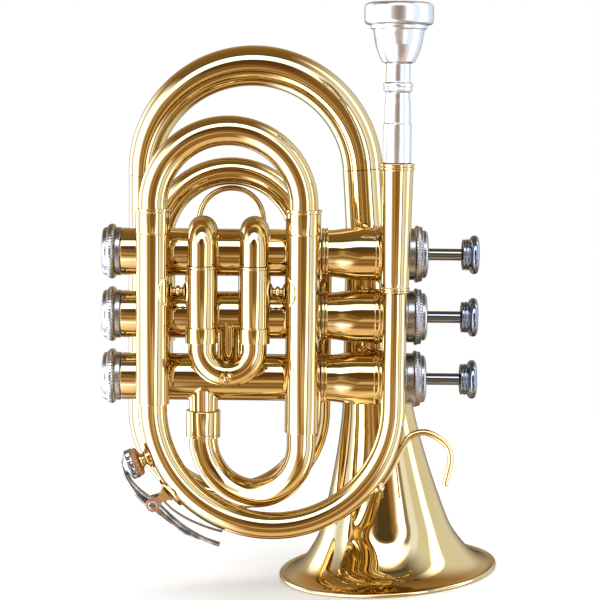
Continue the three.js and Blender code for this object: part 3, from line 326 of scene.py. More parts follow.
# Turned on a lathe: place + along * axis + radius * (cosine * side + sine * other), for each
# [along, radius] of the profile. A knurl makes the radius wave round the axis between its two
# ends, where it fades over one of its parts.
def turned(profile, place, axis, sides=72, looped=False, knurl=None, parts=6):
    profile = np.asarray(profile, float)
    axis = unit(axis)
    side = unit(np.cross(axis, alongY if abs(axis[1]) < 0.9 else alongX))
    angles = np.arange(sides) * 2 * np.pi / sides
    ring = np.outer(np.cos(angles), side) + np.outer(np.sin(angles), np.cross(axis, side))
    along, radii = profile[:, :1], np.repeat(profile[:, 1:], sides, 1)
    if knurl:
        reach = np.minimum(along - knurl["from"], knurl["to"] - along)
        fade = np.clip(parts * reach / (knurl["to"] - knurl["from"]), 0, 1)
        radii = radii - knurl["depth"] * fade * (0.5 + 0.5 * np.cos(angles * knurl["count"]))
    points = place + along[:, None] * axis + radii[:, :, None] * ring
    return points.reshape(-1, 3), gridQuads(len(profile), sides, looped)


# A hollow turned piece: its profile's end joins its start
def turnedShell(profile, place, axis, sides=72):
    return turned(profile, place, axis, sides, looped=True)


# Paths: an array of points and one of the directions there


# start + share * (end - start)
def straight(start, end, steps=2):
    start, end = np.asarray(start, float), np.asarray(end, float)
    share = np.linspace(0, 1, steps)[:, None]
    return start + (end - start) * share, np.repeat(unit(end - start)[None], steps, 0)


# centre + radius * (cosine * u + sine * v), from one angle to another
def arc(centre, u, v, radius, start, end, steps=48):
    angle = np.radians(np.linspace(start, end, steps + 1))[:, None]
    directions = (np.cos(angle) * v - np.sin(angle) * u) * np.sign(end - start)
    return centre + radius * (np.cos(angle) * u + np.sin(angle) * v), directions


# A cubic through each pair of points, whose slopes are half the step between their neighbours
def curve(points, steps):
    points = np.asarray(points, float)
    padded = np.vstack([2 * points[0] - points[1], points, 2 * points[-1] - points[-2]])
    a, b, c, d = (padded[i:len(padded) - 3 + i, None] for i in range(4))
    t = (np.arange(steps) / steps)[None, :, None]
    line = b + 0.5 * ((c - a) * t + (2 * a - 5 * b + 4 * c - d) * t ** 2
                      + (3 * b - a - 3 * c + d) * t ** 3)
    line = np.vstack([line.reshape(-1, 3), points[-1:]])
    return line, unit(np.gradient(line, axis=0))


# One path after another, without the points that repeat the one before
def joinPaths(*paths):
    points = np.vstack([points for points, _ in paths])
    directions = np.vstack([directions for _, directions in paths])
    apart = np.linalg.norm(np.diff(points, axis=0), axis=1) > tolerance["samePoint"]
    kept = np.concatenate([[True], apart])
    return points[kept], directions[kept]


# From the first point to a bend's start, round half a circle by way of its bulge, and from
# the bend's end to the last point
def bendPath(first, start, end, last, bulge, steps=64):
    start, end = np.asarray(start, float), np.asarray(end, float)
    radius = np.linalg.norm(end - start) / 2
    bow = arc((start + end) / 2, unit(end - start), bulge, radius, 180, 0, steps)
    return joinPaths(straight(first, start), bow, straight(end, last))


# A round section carried along a path: point + radius * (cosine * side + sine * up). The
# radius is a number or a function of the share of the way along. Ends close on the axis. The
# side is square to the path and to a skew direction, along which no tube runs.
def sweep(path, radius, sides=48, looped=False, skew=(1, -1, 1)):
    points, directions = path
    steps = np.linalg.norm(np.diff(points, axis=0), axis=1)
    share = np.concatenate([[0], np.cumsum(steps)]) / steps.sum()
    radii = radius(share) if callable(radius) else np.full(len(points), float(radius))
    if not looped:
        points = np.vstack([points[:1], points, points[-1:]])
        directions = np.vstack([directions[:1], directions, directions[-1:]])
        radii = np.concatenate([[0], radii, [0]])
    side = unit(np.cross(directions, skew))
    up = np.cross(directions, side)
    angles = (np.arange(sides) * 2 * np.pi / sides)[None, :, None]
    ring = np.cos(angles) * side[:, None] + np.sin(angles) * up[:, None]
    tube = points[:, None] + radii[:, None, None] * ring
    return tube.reshape(-1, 3), gridQuads(len(points), sides, looped)


# The solder round a joint: by ring from a tube's end, how far the ring stands off the casing
# and how much wider it is, as shares of the fillet
solder = {
    "fillet": 0.35, "rings": 20,
    "lift": [(0, 0), (1, 0.192), (2, 0.56), (3, 1.28), (4, 2.56), (20, 3.84)],
    "widen": [(0, 1), (1, 0.55), (2, 0.25), (3, 0.06), (4, 0)],
}


# Seats a tube on a valve casing: its end rings slide along the tube, by the larger root of
# the quadratic for meeting the casing's cylinder, until they stand off it as the solder does.
# The rings after those slide only where they would cut into the casing.
def seated(shape, path, height, atEnd=False, fillet=solder["fillet"], sides=48):
    points, quads = shape
    tube = points.reshape(-1, sides, 3).copy()
    order = np.arange(min(solder["rings"], len(path[0]) - 1))
    lift, widen = (np.interp(order, *np.transpose(solder[k])) * fillet for k in ("lift", "widen"))
    rows = len(tube) - 2 - order if atEnd else 1 + order
    centres = path[0][rows - 1][:, None]
    directions = path[1][rows - 1][:, None] * (-1 if atEnd else 1)
    away = tube[rows] - centres
    wider = 1 + widen[:, None, None] / np.linalg.norm(away, axis=2, keepdims=True)
    ring = centres + away * wider
    y, z = ring[..., 1], ring[..., 2] - height
    dy, dz = directions[..., 1], directions[..., 2]
    a, b = dy * dy + dz * dz, 2 * (y * dy + z * dz)
    c = y * y + z * z - (valves["radius"] + lift[:, None]) ** 2
    square = b * b - 4 * a * c
    reach = (-b + np.sqrt(np.maximum(square, 0))) / (2 * np.maximum(a, 1e-6))
    cuts = (square > 0) & (reach > 0) & (c < 0)
    reach = np.where((order < len(solder["widen"]))[:, None] | cuts, reach, 0)
    tube[rows] = ring + reach[..., None] * directions
    tube[-1 if atEnd else 0] = tube[rows[0]].mean(0)
    return tube.reshape(-1, 3), quads


# Swept straight out of the casing at this height, and seated on it
def seatedTube(start, end, steps, radius, height):
    path = straight(start, end, steps)
    return seated(sweep(path, radius), path, height)


# Leadpipe
leadpipe = {
    "across": 37.3, "left": -60.9, "top": 11.5, "bowHeight": -35.9, "end": -28.6,
    "from": 4.9, "to": 5.95,  # its radius at its start and at its end
}
leadRadius = (leadpipe["across"] - leadpipe["left"]) / 2


# A point in the leadpipe's layer
def leadPoint(across, height):
    return np.array([across, layers["front"], height])


# The radius grows evenly along the leadpipe
def leadOuter(share):
    return leadpipe["from"] + (leadpipe["to"] - leadpipe["from"]) * share


# The leadpipe's radius where its bow has turned to these degrees
def leadAt(angle):
    angle = np.asarray(angle, float)
    before = leadpipe["top"] - leadpipe["bowHeight"]
    after = leadpipe["end"] - leadpipe["bowHeight"]
    bow = np.radians(np.where(angle < 0, -angle, 360 - angle)) * leadRadius
    return leadOuter((before + bow) / (before + math.pi * leadRadius + after))


# The direction out of the bow at these degrees: the cosine along X and the sine along Z
def outward(angle):
    angle = np.radians(angle)
    return np.stack([np.cos(angle), 0 * angle, np.sin(angle)], -1)


# A point above the bow's outer side: the bow's centre, and outwards from it the bow's radius,
# the tube's and the height
def onBow(angle, height):
    spoke = np.asarray(leadRadius + leadAt(angle) + height)
    return leadCentre + outward(angle) * spoke[..., None]


leadCentre = leadPoint((leadpipe["across"] + leadpipe["left"]) / 2, leadpipe["bowHeight"])
leadPath = bendPath(
    leadPoint(leadpipe["across"], leadpipe["top"]),
    leadPoint(leadpipe["across"], leadpipe["bowHeight"]),
    leadPoint(leadpipe["left"], leadpipe["bowHeight"]),
    leadPoint(leadpipe["left"], leadpipe["end"]), -alongZ, 96,
)
dress("leadpipe", sweep(leadPath, leadOuter, 64))

# Receiver and mouthpiece, as [height, radius]
receiver = [
    (11.8, 5.5), (12.1, 6.05), (12.7, 6.05), (12.8, 5.55), (13.0, 5.55), (13.1, 6.05),
    (13.8, 6.05), (14.1, 5.6), (15.4, 5.75), (60.9, 6.72), (61.3, 6.72), (61.5, 7.12),
    (62.5, 7.12), (62.6, 6.7), (62.8, 6.7), (62.9, 7.12), (63.8, 7.12), (64.1, 6.8),
    (64.1, 5.9), (40, 4.95), (40, 4.4), (11.8, 4.4),
]
mouthpiece = {
    "shank": [(40.1, 3.2), (40.1, 4.6), (64.1, 5.5)],
    # Above the receiver: outside and inside, as shares of the height and of the rim's radius
    "foot": 64.1, "height": 64.15, "rim": 13.9,
    "outside": [
        (0.005, 0.414), (0.243, 0.412), (0.247, 0.42), (0.252, 0.381), (0.37, 0.375),
        (0.4, 0.356), (0.44, 0.345), (0.449, 0.395), (0.462, 0.43), (0.472, 0.4),
        (0.482, 0.435), (0.497, 0.43), (0.507, 0.36), (0.62, 0.35), (0.631, 0.475),
        (0.66, 0.54), (0.69, 0.6), (0.737, 0.67), (0.79, 0.715), (0.832, 0.741),
        (0.835, 0.817), (0.858, 0.817), (0.862, 0.93), (0.872, 0.985), (0.885, 1), (0.972, 1),
        (0.988, 0.965), (0.998, 0.86), (1, 0.76),
    ],
    "inside": [
        (1, 0.7), (0.992, 0.62), (0.975, 0.585), (0.93, 0.54), (0.875, 0.42), (0.835, 0.24),
        (0.81, 0.14), (0.5, 0.14),
    ],
}


# Turned: the shank's profile, and the shares made millimetres
def mouthpieceShape():
    shares = np.array(mouthpiece["outside"] + mouthpiece["inside"])
    body = shares * (mouthpiece["height"], mouthpiece["rim"]) + (mouthpiece["foot"], 0)
    profile = rounded(np.vstack([mouthpiece["shank"], body]), 0.3)
    return turnedShell(profile, leadPoint(leadpipe["across"], 0), alongZ, 128)


receiverPlace = leadPoint(leadpipe["across"], 0)
dress("mouthpiece_receiver", turnedShell(rounded(receiver, 0.15), receiverPlace, alongZ, 96))
dress("mouthpiece", mouthpieceShape(), "silver_plate", "mouthpiece")
print("leadpipe and mouthpiece made")

# Sleeves: tubes whose radius changes in steps, where a collar starts or ends and at the rolled
# bead round the mouth, with a fine groove cut below each step
groove = {"width": 0.4, "depth": 0.5}
tuningSleeves = {
    "left": {"across": -60.9, "foot": -34.6}, "right": {"across": 0, "foot": -45.8},
    "head": 45, "bore": 6.2, "radii": [6.875, 7.13, 7.42], "steps": [35.1, 43.8],
}
firstSleeves = {
    "left": {"across": -40.95, "foot": -9.4}, "right": {"across": -19.85, "foot": -9.4},
    "head": 21.8, "bore": 5.7, "radii": [6.65, 6.35, 6.6], "steps": [-2.9, 21.1],
}
thirdSleeves = {
    "left": {"across": -60.9, "foot": -13, "inward": 8},
    "right": {"across": 0, "foot": -13, "inward": -8},
    "head": 20.8, "bore": 5.8, "radii": [6.65, 6.9], "steps": [14.8],
    "elbow": 8.4, "elbowTube": 5.75, "elbowDepth": 7,
}


# Turned: out at the foot, up by way of each groove and step, and in at the head
def sleeveShape(sleeves, side, layer, sides=96):
    foot, head, bore = sleeves[side]["foot"], sleeves["head"], sleeves["bore"]
    radii = sleeves["radii"]
    corners = [(foot, bore), (foot, radii[0])]
    for step, below, above in zip(sleeves["steps"], radii, radii[1:]):
        start, cut = step - groove["width"], min(below, above) - groove["depth"]
        corners += [(start, below), (start, cut), (step, cut), (step, above)]
    corners += [(head, radii[-1]), (head, bore)]
    place = (sleeves[side]["across"], layers[layer], 0)
    return turnedShell(rounded(corners, 0.12), place, alongZ, sides)


# Where a slide's legs meet its bow, above its two sleeves
def legEnds(sleeves, layer, height):
    return [(sleeves[side]["across"], layers[layer], height) for side in ("left", "right")]


# Swept along one leg, round the bow, and back along the other
def dressSlide(name, slide, ends, way, steps=64, sides=48):
    left, right = np.array(ends, float)
    back = slide["reach"] * way
    path = bendPath(left - back, left, right, right - back, way, steps)
    dress(name, sweep(path, slide["tube"], sides), body=name)


# Main tuning slide
tuningSlide = {"bowHeight": 46.2, "reach": 47.2, "tube": 5.955}
tuningLegs = legEnds(tuningSleeves, "front", tuningSlide["bowHeight"])
for side in ("left", "right"):
    dress(f"{side}_tuning_sleeve", sleeveShape(tuningSleeves, side, "front"))
dressSlide("tuning_slide", tuningSlide, tuningLegs, alongZ, 80, 64)

# Inlet from the tuning slide to the third valve
inlet = {
    "across": -40.9, "depth": -3, "tubeTop": -36, "tubeFoot": -45, "tube": 6,
    "bowTop": -39.5, "bowHeight": -51.2, "bowEnd": -45.3, "bow": 5.955,
    "ferrule": [
        (-51, 6.2), (-51, 7.1), (-50, 7.1), (-50, 6.75), (-49.7, 6.75), (-49.7, 7.1),
        (-40, 7.1), (-39.6, 6.8), (-39.6, 6.2),
    ],
}
inletPlace = np.array([inlet["across"], inlet["depth"], 0])
# Down out of the right sleeve, round half a circle towards the back, and up
rightSleeve = tuningSleeves["right"]["across"]
inletPath = bendPath(
    leadPoint(rightSleeve, inlet["bowTop"]), leadPoint(rightSleeve, inlet["bowHeight"]),
    inletPlace + alongZ * inlet["bowHeight"], inletPlace + alongZ * inlet["bowEnd"], -alongZ, 56,
)
dress("inlet_bow", sweep(inletPath, inlet["bow"]))
dress("inlet_ferrule", turnedShell(rounded(inlet["ferrule"], 0.15), inletPlace, alongZ))
inletEnds = (inletPlace + alongZ * inlet[end] for end in ("tubeTop", "tubeFoot"))
dress("inlet_tube", seatedTube(*inletEnds, 12, inlet["tube"], valves["heights"][2]))

# First slide, with its elbows out of valve 1 and the knob to pull it by. The elbows rise by
# these degrees, and start this share of the way to the casing's surface.
firstSlide = {
    "rise": 50, "elbow": 6.9, "elbowTube": 5.9, "start": 0.8, "overlap": 0.3,
    "bowHeight": -11.8, "reach": 22.6, "tube": 5.43,
    "knob": [
        (5.3, 0), (5.3, 1.5), (6.0, 1.5), (6.3, 1.8), (6.8, 2.4), (7.3, 2.55), (7.7, 2.3),
        (8.0, 2.4), (8.6, 2.45), (9.6, 2.0), (10.5, 1.2), (10.9, 0.95), (12.0, 0.8),
        (12.13, 0.5), (12.13, 0),
    ],
}
firstLeft, firstRight = firstSleeves["left"]["across"], firstSleeves["right"]["across"]
firstMiddle, firstRadius = (firstLeft + firstRight) / 2, (firstRight - firstLeft) / 2


# Swept: out of the casing and up at the rise, then round and down into the sleeve
def firstElbowShape(side):
    across, radius = firstSleeves[side]["across"], firstSlide["elbow"]
    rise = math.radians(firstSlide["rise"])
    out = (-layers["front"] - radius * (1 + math.sin(rise))) / math.cos(rise)
    lift = out * math.sin(rise) - radius * math.cos(rise)
    height = valves["heights"][0]
    centre = np.array([across, layers["front"] + radius, height + lift])
    bow = arc(centre, alongY, alongZ, radius, 90 - firstSlide["rise"], 180, 40)
    within = firstSlide["start"] * valves["radius"]
    inner = (across, -within * math.cos(rise), height + within * math.sin(rise))
    lead, leadDirections = straight(inner, bow[0][0], 8)
    foot = leadPoint(across, firstSleeves["head"] + firstSlide["overlap"])
    path = joinPaths((lead[:-1], leadDirections[:-1]), bow, straight(bow[0][-1], foot))
    return seated(sweep(path, firstSlide["elbowTube"]), path, height)


for side in ("left", "right"):
    dress(f"first_elbow_{side}", firstElbowShape(side))
    dress(f"first_sleeve_{side}", sleeveShape(firstSleeves, side, "front"))
firstLegs = legEnds(firstSleeves, "front", firstSlide["bowHeight"])
dressSlide("first_slide", firstSlide, firstLegs, -alongZ)
crown = leadPoint(firstMiddle, firstSlide["bowHeight"] - firstRadius)
knob = turned(rounded(firstSlide["knob"], 0.3), crown, -alongY, 48)
dress("first_slide_knob", knob, body="first_slide")

# Second slide, behind
secondSlide = {
    "left": -46, "right": -27, "sleeve": 6.35, "sleeveStart": 9, "sleeveEnd": 18.5,
    "bow": 19.6, "tube": 5.43, "reach": 8.1,
}
for side in ("left", "right"):
    ends = ((secondSlide[side], secondSlide[end], 0) for end in ("sleeveStart", "sleeveEnd"))
    sleeve = seatedTube(*ends, 14, secondSlide["sleeve"], valves["heights"][1])
    dress(f"second_sleeve_{side}", sleeve)
secondLegs = [(secondSlide[side], secondSlide["bow"], 0) for side in ("left", "right")]
dressSlide("second_slide", secondSlide, secondLegs, alongY)

# Third slide, behind, with its finger ring
thirdSlide = {"bowHeight": 28.8, "reach": 35, "tube": 5.73}
fingerRing = {"height": 38.57, "radius": 13.5, "wire": 1.15}


# The sleeve, and swept from its foot an elbow that bends inwards to valve 3
def thirdSleeveShape(side):
    sleeve, radius = thirdSleeves[side], thirdSleeves["elbow"]
    height = valves["heights"][2]
    into = unit((sleeve["inward"], -layers["third"], 0))
    corner = np.array([sleeve["across"], layers["third"], height + radius])
    bow = arc(corner + radius * into, -into, -alongZ, radius, 0, 90, 24)
    middle = bow[0][-1]
    end = middle + into * (middle[1] - thirdSleeves["elbowDepth"]) / -into[1]
    last, lastDirections = straight(middle, end, 8)
    down = straight((sleeve["across"], layers["third"], sleeve["foot"]), bow[0][0])
    path = joinPaths(down, bow, (last[1:], lastDirections[1:]))
    elbow = seated(sweep(path, thirdSleeves["elbowTube"]), path, height, atEnd=True)
    return together(sleeveShape(thirdSleeves, side, "third", 72), elbow)


for side in ("left", "right"):
    dress(f"third_sleeve_{side}", thirdSleeveShape(side))
thirdLegs = legEnds(thirdSleeves, "third", thirdSlide["bowHeight"])
dressSlide("third_slide", thirdSlide, thirdLegs, alongZ)
ringCentre = np.mean(thirdLegs, 0) * (1, 1, 0) + alongZ * fingerRing["height"]
ringLine, ringDirections = arc(ringCentre, alongX, alongZ, fingerRing["radius"], 90, 450, 96)
ringPath = ringLine[:-1], ringDirections[:-1]
dress("finger_ring", sweep(ringPath, fingerRing["wire"], 24, looped=True), body="third_slide")
print("slides made")

# Bell: the outer line of its flare as [height above the rim, radius], with a wall inside it and
# a rolled bead round the rim. Its rings are spans of heights, each with a count.
bell = {
    "flare": [
        (1.3, 45.2), (3, 41.05), (5.3, 37.8), (8.6, 34.8), (18.6, 28.6), (26.3, 26.05),
        (34.3, 23.7), (47.1, 20.35), (60.9, 17.25), (72.7, 15.25), (102.7, 12.73),
        (128, 10.65), (154, 8.84), (175.3, 8.62),
    ],
    "rings": [(1.3, 12, 26), (12.8, 60, 40), (62, 175.3, 50)],
    "wall": 0.6, "bead": 0.85, "rim": 47.5, "length": 175.6,
}
bellAxis = np.array([-math.sin(lean), 0, math.cos(lean)])


# Turned: down the flare, round the bead, and up again a wall's thickness inside
def bellShape():
    heights = np.concatenate([np.linspace(*span) for span in bell["rings"]])
    outer = np.stack([heights, smoothOf(bell["flare"], heights)], 1)
    slope = np.gradient(outer, axis=0)
    inner = outer + bell["wall"] * unit(np.stack([slope[:, 1], -slope[:, 0]], 1))
    angles = np.radians(np.arange(120, -150, -15))
    roll = np.stack([1 + np.sin(angles), np.cos(angles) - 1], 1)
    bead = bell["bead"] * roll + (0, bell["rim"])
    return turnedShell(np.vstack([outer[::-1], bead, inner]), rimCentre, bellAxis, 200)


# Tail: the outlet from valve 1, round and down, the bow at the bottom, and the bow at the top,
# which widens into the bell by a quarter of a sine wave, sooner than its own length
tail = {
    "outlet": -13, "start": 7.5, "firstBend": 10, "secondBend": 9.4, "right": 6.4, "left": -69,
    "join": -30, "bowHeight": -45.5, "tube": 6.15, "seam": 0.3, "end": 8.6, "hurry": 1.7,
}
bellTop = rimCentre + bell["length"] * bellAxis
bowRadius = (bellTop[0] - tail["left"]) / (1 + math.cos(lean))
bowHeight = bellTop[2] - bowRadius * math.sin(lean)


# A point in the bell's layer
def tailPoint(across, height):
    return np.array([across, layers["back"], height])


# Swept: straight back, a bend to the side and a bend downwards
def outletShape():
    height, first, second = valves["heights"][0], tail["firstBend"], tail["secondBend"]
    bendStart = layers["back"] - first
    foot = height - second
    path = joinPaths(
        straight((tail["outlet"], tail["start"], height), (tail["outlet"], bendStart, height), 16),
        arc(np.array([tail["outlet"] + first, bendStart, height]), -alongX, alongY, first,
            0, 90, 32),
        arc(tailPoint(tail["right"] - second, foot), alongX, alongZ, second, 90, 0, 32),
        straight(tailPoint(tail["right"], foot), tailPoint(tail["right"], tail["join"])),
    )
    return seated(sweep(path, tail["tube"]), path, height)


# Swept: down the left, round half a circle, and up the right
def tailBowShape():
    left, right = (tailPoint(tail[side], tail["bowHeight"]) for side in ("left", "right"))
    first = tailPoint(tail["left"], bowHeight - tail["seam"])
    last = tailPoint(tail["right"], tail["join"] - tail["seam"])
    return sweep(bendPath(first, left, right, last, -alongZ, 80), tail["tube"])


# Swept: round until it runs along the bell's axis
def bellBowShape():
    def outer(share):
        growth = np.sin(np.pi / 2 * np.minimum(1, tail["hurry"] * share))
        return tail["tube"] + (tail["end"] - tail["tube"]) * growth
    centre = tailPoint(tail["left"] + bowRadius, bowHeight)
    return sweep(arc(centre, alongX, alongZ, bowRadius, 180, leanDegrees, 96), outer, 64)


dress("outlet_tube", outletShape())
dress("tail_bow", tailBowShape())
dress("bell_bow", bellBowShape())
dress("bell", bellShape())
print("bell made")

# Valves. Profiles are [X, radius] pairs along a valve's axis.
casing = [(-74.9, 8.55), (-74.9, valves["radius"]), (7.3, valves["radius"]), (7.3, 8.55)]
upperCasing = {
    "beads": [
        (7.6, 9.6), (7.8, 10.45), (8.8, 10.5), (8.95, 9.75), (9.15, 9.75), (9.3, 10.5),
        (10.2, 10.45), (10.4, 9.55),
    ],
    "cone": [(10.4, 9.55), (14, 9.9), (18, 10.5), (21, 10.85), (24, 11), (27, 11)],
    "coneRings": (10.6, 27, 20),
    "ring": [
        (29.6, 11), (29.6, 10.75), (29.85, 10.75), (29.85, 11.5), (31.9, 11.5), (31.9, 10.75),
        (32.15, 10.75), (32.15, 11), (40.1, 11), (40.1, 8.35), (7.6, 8.35),
    ],
}
bottomCap = {
    "profile": [
        (-83, 0), (-83, 8.6), (-82.6, 9.6), (-81.7, 9.95), (-80.9, 10.1), (-80.6, 10.9),
        (-79.8, 11.35), (-78.8, 11.45), (-78.0, 11.1), (-77.6, 10.4), (-77.55, 9.6),
        (-77.3, 9.6), (-77.2, 10.0), (-75.45, 10.0), (-75.4, 9.75), (-75.2, 9.7),
        (-75.2, 8.55), (-81.4, 8.55), (-81.4, 0),
    ],
    "knurl": {"from": -80.5, "to": -77.8, "depth": 0.07, "count": 56},
    "sides": 336, "hollow": False,
}
topCap = {
    "profile": [
        (40.4, 8.4), (40.4, 10.5), (40.7, 10.7), (43.1, 10.7), (43.2, 10.45), (43.5, 10.45),
        (43.6, 10.7), (46.1, 10.7), (46.3, 11.2), (46.6, 11.85), (47.3, 11.8), (48.4, 11.3),
        (48.9, 11.45), (49.2, 11.3), (49.35, 10.2), (49.5, 9.85), (50.6, 9.85), (51.2, 9.3),
        (51.6, 8.2), (51.6, 7.4), (51.4, 6.9), (51.4, 2.75), (48.4, 2.75), (48.4, 8.2),
        (46, 8.4),
    ],
    "knurl": {"from": 46.5, "to": 49.2, "depth": 0.07, "count": 64},
    "sides": 384, "hollow": True,
}
button = [
    (66, 0), (66, 5.9), (66.2, 6.35), (67.0, 6.35), (67.2, 6.05), (67.4, 6.05), (67.6, 6.5),
    (68.3, 6.45), (68.7, 6.15), (69.1, 6.7), (69.6, 7.5), (70.3, 8.0), (71.2, 8.1), (72.0, 7.8),
    (72.5, 7.2), (72.7, 6.5), (72.5, 5.8), (72.0, 5.2), (71.9, 0),
]
piston = {
    "shell": [(-60.6, 7.4), (-60.6, 8.2), (3.4, 8.2), (3.4, 2.4), (2.6, 2.4), (2.6, 7.4)],
    "stem": [(3, 0), (3, 2.45), (65.6, 2.45), (65.9, 2.1), (65.9, 0)],
    "seat": [(46.5, 2.3), (46.5, 5.8), (48.1, 5.8), (48.1, 2.3)],
}
valveGuide = [(3.7, 2.75), (3.7, 8.2), (6.1, 8.2), (6.1, 2.75)]
knuckle = {"depth": -3.4, "tube": 5.9, "inset": 6, "fillet": 0.25}


# Turned: the beads and the ring with rounded corners, and a smooth cone between them
def upperCasingShape(place):
    across = np.linspace(*upperCasing["coneRings"])
    cone = np.stack([across, smoothOf(upperCasing["cone"], across)], 1)
    beads, ring = rounded(upperCasing["beads"], 0.2), rounded(upperCasing["ring"], 0.15)
    return turnedShell(np.vstack([beads, cone, ring]), place, alongX, 112)


# Turned, with enough rings for the knurl to wave on
def capShape(cap, place):
    profile = refined(rounded(cap["profile"], 0.18), 0.3)
    return turned(profile, place, alongX, cap["sides"], cap["hollow"], cap["knurl"])


# Turned: the shell, its stem and the seat of the stem's felt
def pistonShape(place):
    return together(
        turnedShell(rounded(piston["shell"], 0.2), place, alongX, 64),
        turned(rounded(piston["stem"], 0.2), place, alongX, 48),
        turnedShell(rounded(piston["seat"], 0.2), place, alongX, 48),
    )


def buildValve(number, height):
    place, body = np.array([0, 0, height]), f"piston_{number}"
    dress(f"valve_casing_{number}", turnedShell(rounded(casing, 0.2), place, alongX, 96))
    dress(f"upper_casing_{number}", upperCasingShape(place))
    dress(f"bottom_cap_{number}", capShape(bottomCap, place), "dull_nickel")
    dress(f"top_cap_{number}", capShape(topCap, place), "dull_nickel")
    dress(body, pistonShape(place), "chrome", body)
    buttonShape = turned(rounded(button, 0.25), place, alongX, 96)
    dress(f"finger_button_{number}", buttonShape, "chrome", body)
    guide = turnedShell(rounded(valveGuide, 0.2), place, alongX, 48)
    dress(f"valve_guide_{number}", guide, "dull_nickel")
    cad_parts[f"valve_spring_{number}"].data.materials[0] = metals["spring_steel"]


# Swept from one casing down to the next, and seated on both
def knuckleShape(across, high, low):
    start = (across, knuckle["depth"], high - knuckle["inset"])
    end = (across, knuckle["depth"], low + knuckle["inset"])
    path = straight(start, end, 24)
    shape = seated(sweep(path, knuckle["tube"]), path, high, fillet=knuckle["fillet"])
    return seated(shape, path, low, atEnd=True, fillet=knuckle["fillet"])


for valveNumber, valveHeight in enumerate(valves["heights"], 1):
    buildValve(valveNumber, valveHeight)
dress("knuckle_1_2", knuckleShape(firstRight, *valves["heights"][:2]))
dress("knuckle_2_3", knuckleShape(firstMiddle, *valves["heights"][1:]))
print("valves made")

# Braces: a turned rod between two tubes, with a round saddle soldered to each. A saddle is
# turned round its tube by these degrees.
brace = {
    "height": 11.8, "stand": 0.5, "turned": {"front": -15, "back": 25},
    # The saddle's disc as [distance out of the tube, radius]
    "saddle": [(0.47, 0), (0.47, 6.003), (0.376, 6.486), (0.1645, 6.7965), (0.02, 6.9), (0.02, 0)],
    # The rod as [share of its length, radius], up to its middle, and the same back from there
    "rod": [
        (0, 0), (0, 3.4), (0.08, 2.9), (0.15, 1.75), (0.24, 1.2), (0.33, 1.25), (0.38, 1.9),
        (0.44, 2.1), (0.5, 2.15),
    ],
    "posts": {
        "bell_brace": ((25.75, 11.1, 0), (25.75, 18.1, 0), 1.9, 3.5),
        "leadpipe_brace": ((36.15, -11.1, 0), (36.15, -13.3, 0), 1.9, 2.3),
    },
}
# Each end of a rod as [across, its tube's radius, which way its saddle is turned]
outerEnds = [(tuningSleeves[side]["across"], tuningSleeves["radii"][0], "front")
             for side in ("left", "right")]
innerEnds = [(across, firstSleeves["radii"][1], "back") for across in (firstLeft, firstRight)]


# A thin disc bent round an upright tube: its distance out becomes the distance from the
# tube's axis, and its breadth is wrapped round that axis, from an angle off the brace's line
def saddleDisc(across, side, tube, turnedBy):
    disc, quads = turned(refined(brace["saddle"], 0.5), (0, 0, 0), alongX, 64)
    wrap = disc[:, 1] / (tube + brace["stand"]) + math.radians(turnedBy)
    points = np.stack([
        across + side * (tube + disc[:, 0]) * np.cos(wrap),
        layers["front"] + (tube + disc[:, 0]) * np.sin(wrap),
        brace["height"] + disc[:, 2],
    ], 1)
    return points, quads


# The rod's profile stretched from one tube's side to the other's and turned, and a saddle at
# each end
def braceShape(left, right):
    start, end = left[0] + left[1] + brace["stand"], right[0] - right[1] - brace["stand"]
    half = np.array(brace["rod"])
    shares = np.vstack([half, half[-2::-1] * (-1, 1) + (1, 0)])
    profile = rounded(shares * (end - start, 1) + (start, 0), 0.4)
    rod = turned(profile, leadPoint(0, brace["height"]), alongX, 48)
    saddles = [
        saddleDisc(across, side, tube, brace["turned"][way])
        for side, (across, tube, way) in ((1, left), (-1, right))
    ]
    return together(rod, *saddles)


# A short post with a round foot at each end: turned, with feet at most half a millimetre high
def postShape(start, end, radius, foot):
    length = np.linalg.norm(np.subtract(end, start))
    step = min(0.5, length / 4)
    profile = rounded([
        (0, 0), (0, foot), (step, foot), (2 * step, radius), (length - 2 * step, radius),
        (length - step, foot), (length, foot), (length, 0),
    ], 0.3)
    return turned(profile, start, np.subtract(end, start), 40)


dress("brace_left", braceShape(outerEnds[0], innerEnds[0]))
dress("brace_right", braceShape(innerEnds[1], outerEnds[1]))
for postName, post in brace["posts"].items():
    dress(postName, postShape(*post))

# Hook for the little finger, its line as shares of its reach and of its height above its foot.
# The wire is drawn in over the last of its length.
hook = {
    "angle": -36.5, "wire": 1.35, "reach": 29.3, "height": 22.7, "tipStart": 0.993, "tipDraw": 0.4,
    "line": [
        (-0.02, -0.045), (0.15, 0.278), (0.355, 0.793), (0.464, 0.958), (0.659, 1),
        (0.857, 0.874), (0.969, 0.711), (1, 0.491), (0.962, 0.233), (0.925, 0.033),
    ],
    "foot": [(-1.2, 0), (-1.2, 2.9), (0.5, 2.9), (1.1, 2.2), (2.1, 1.5), (2.6, 0)],
}


# Swept along the line, on a turned foot
def hookShape():
    start = onBow(hook["angle"], 0)
    line = np.array(hook["line"]) * (hook["reach"], hook["height"])
    points = start + np.stack([line[:, 0], 0 * line[:, 0], line[:, 1]], 1)

    def thickness(share):
        tip = np.clip((share - hook["tipStart"]) / (1 - hook["tipStart"]), 0, 1)
        return hook["wire"] * np.sqrt(1 - hook["tipDraw"] * tip ** 2)

    foot = turned(rounded(hook["foot"], 0.4), start, outward(hook["angle"]), 40)
    return together(sweep(curve(points, 12), thickness, 32), foot)


dress("pinky_hook", hookShape())

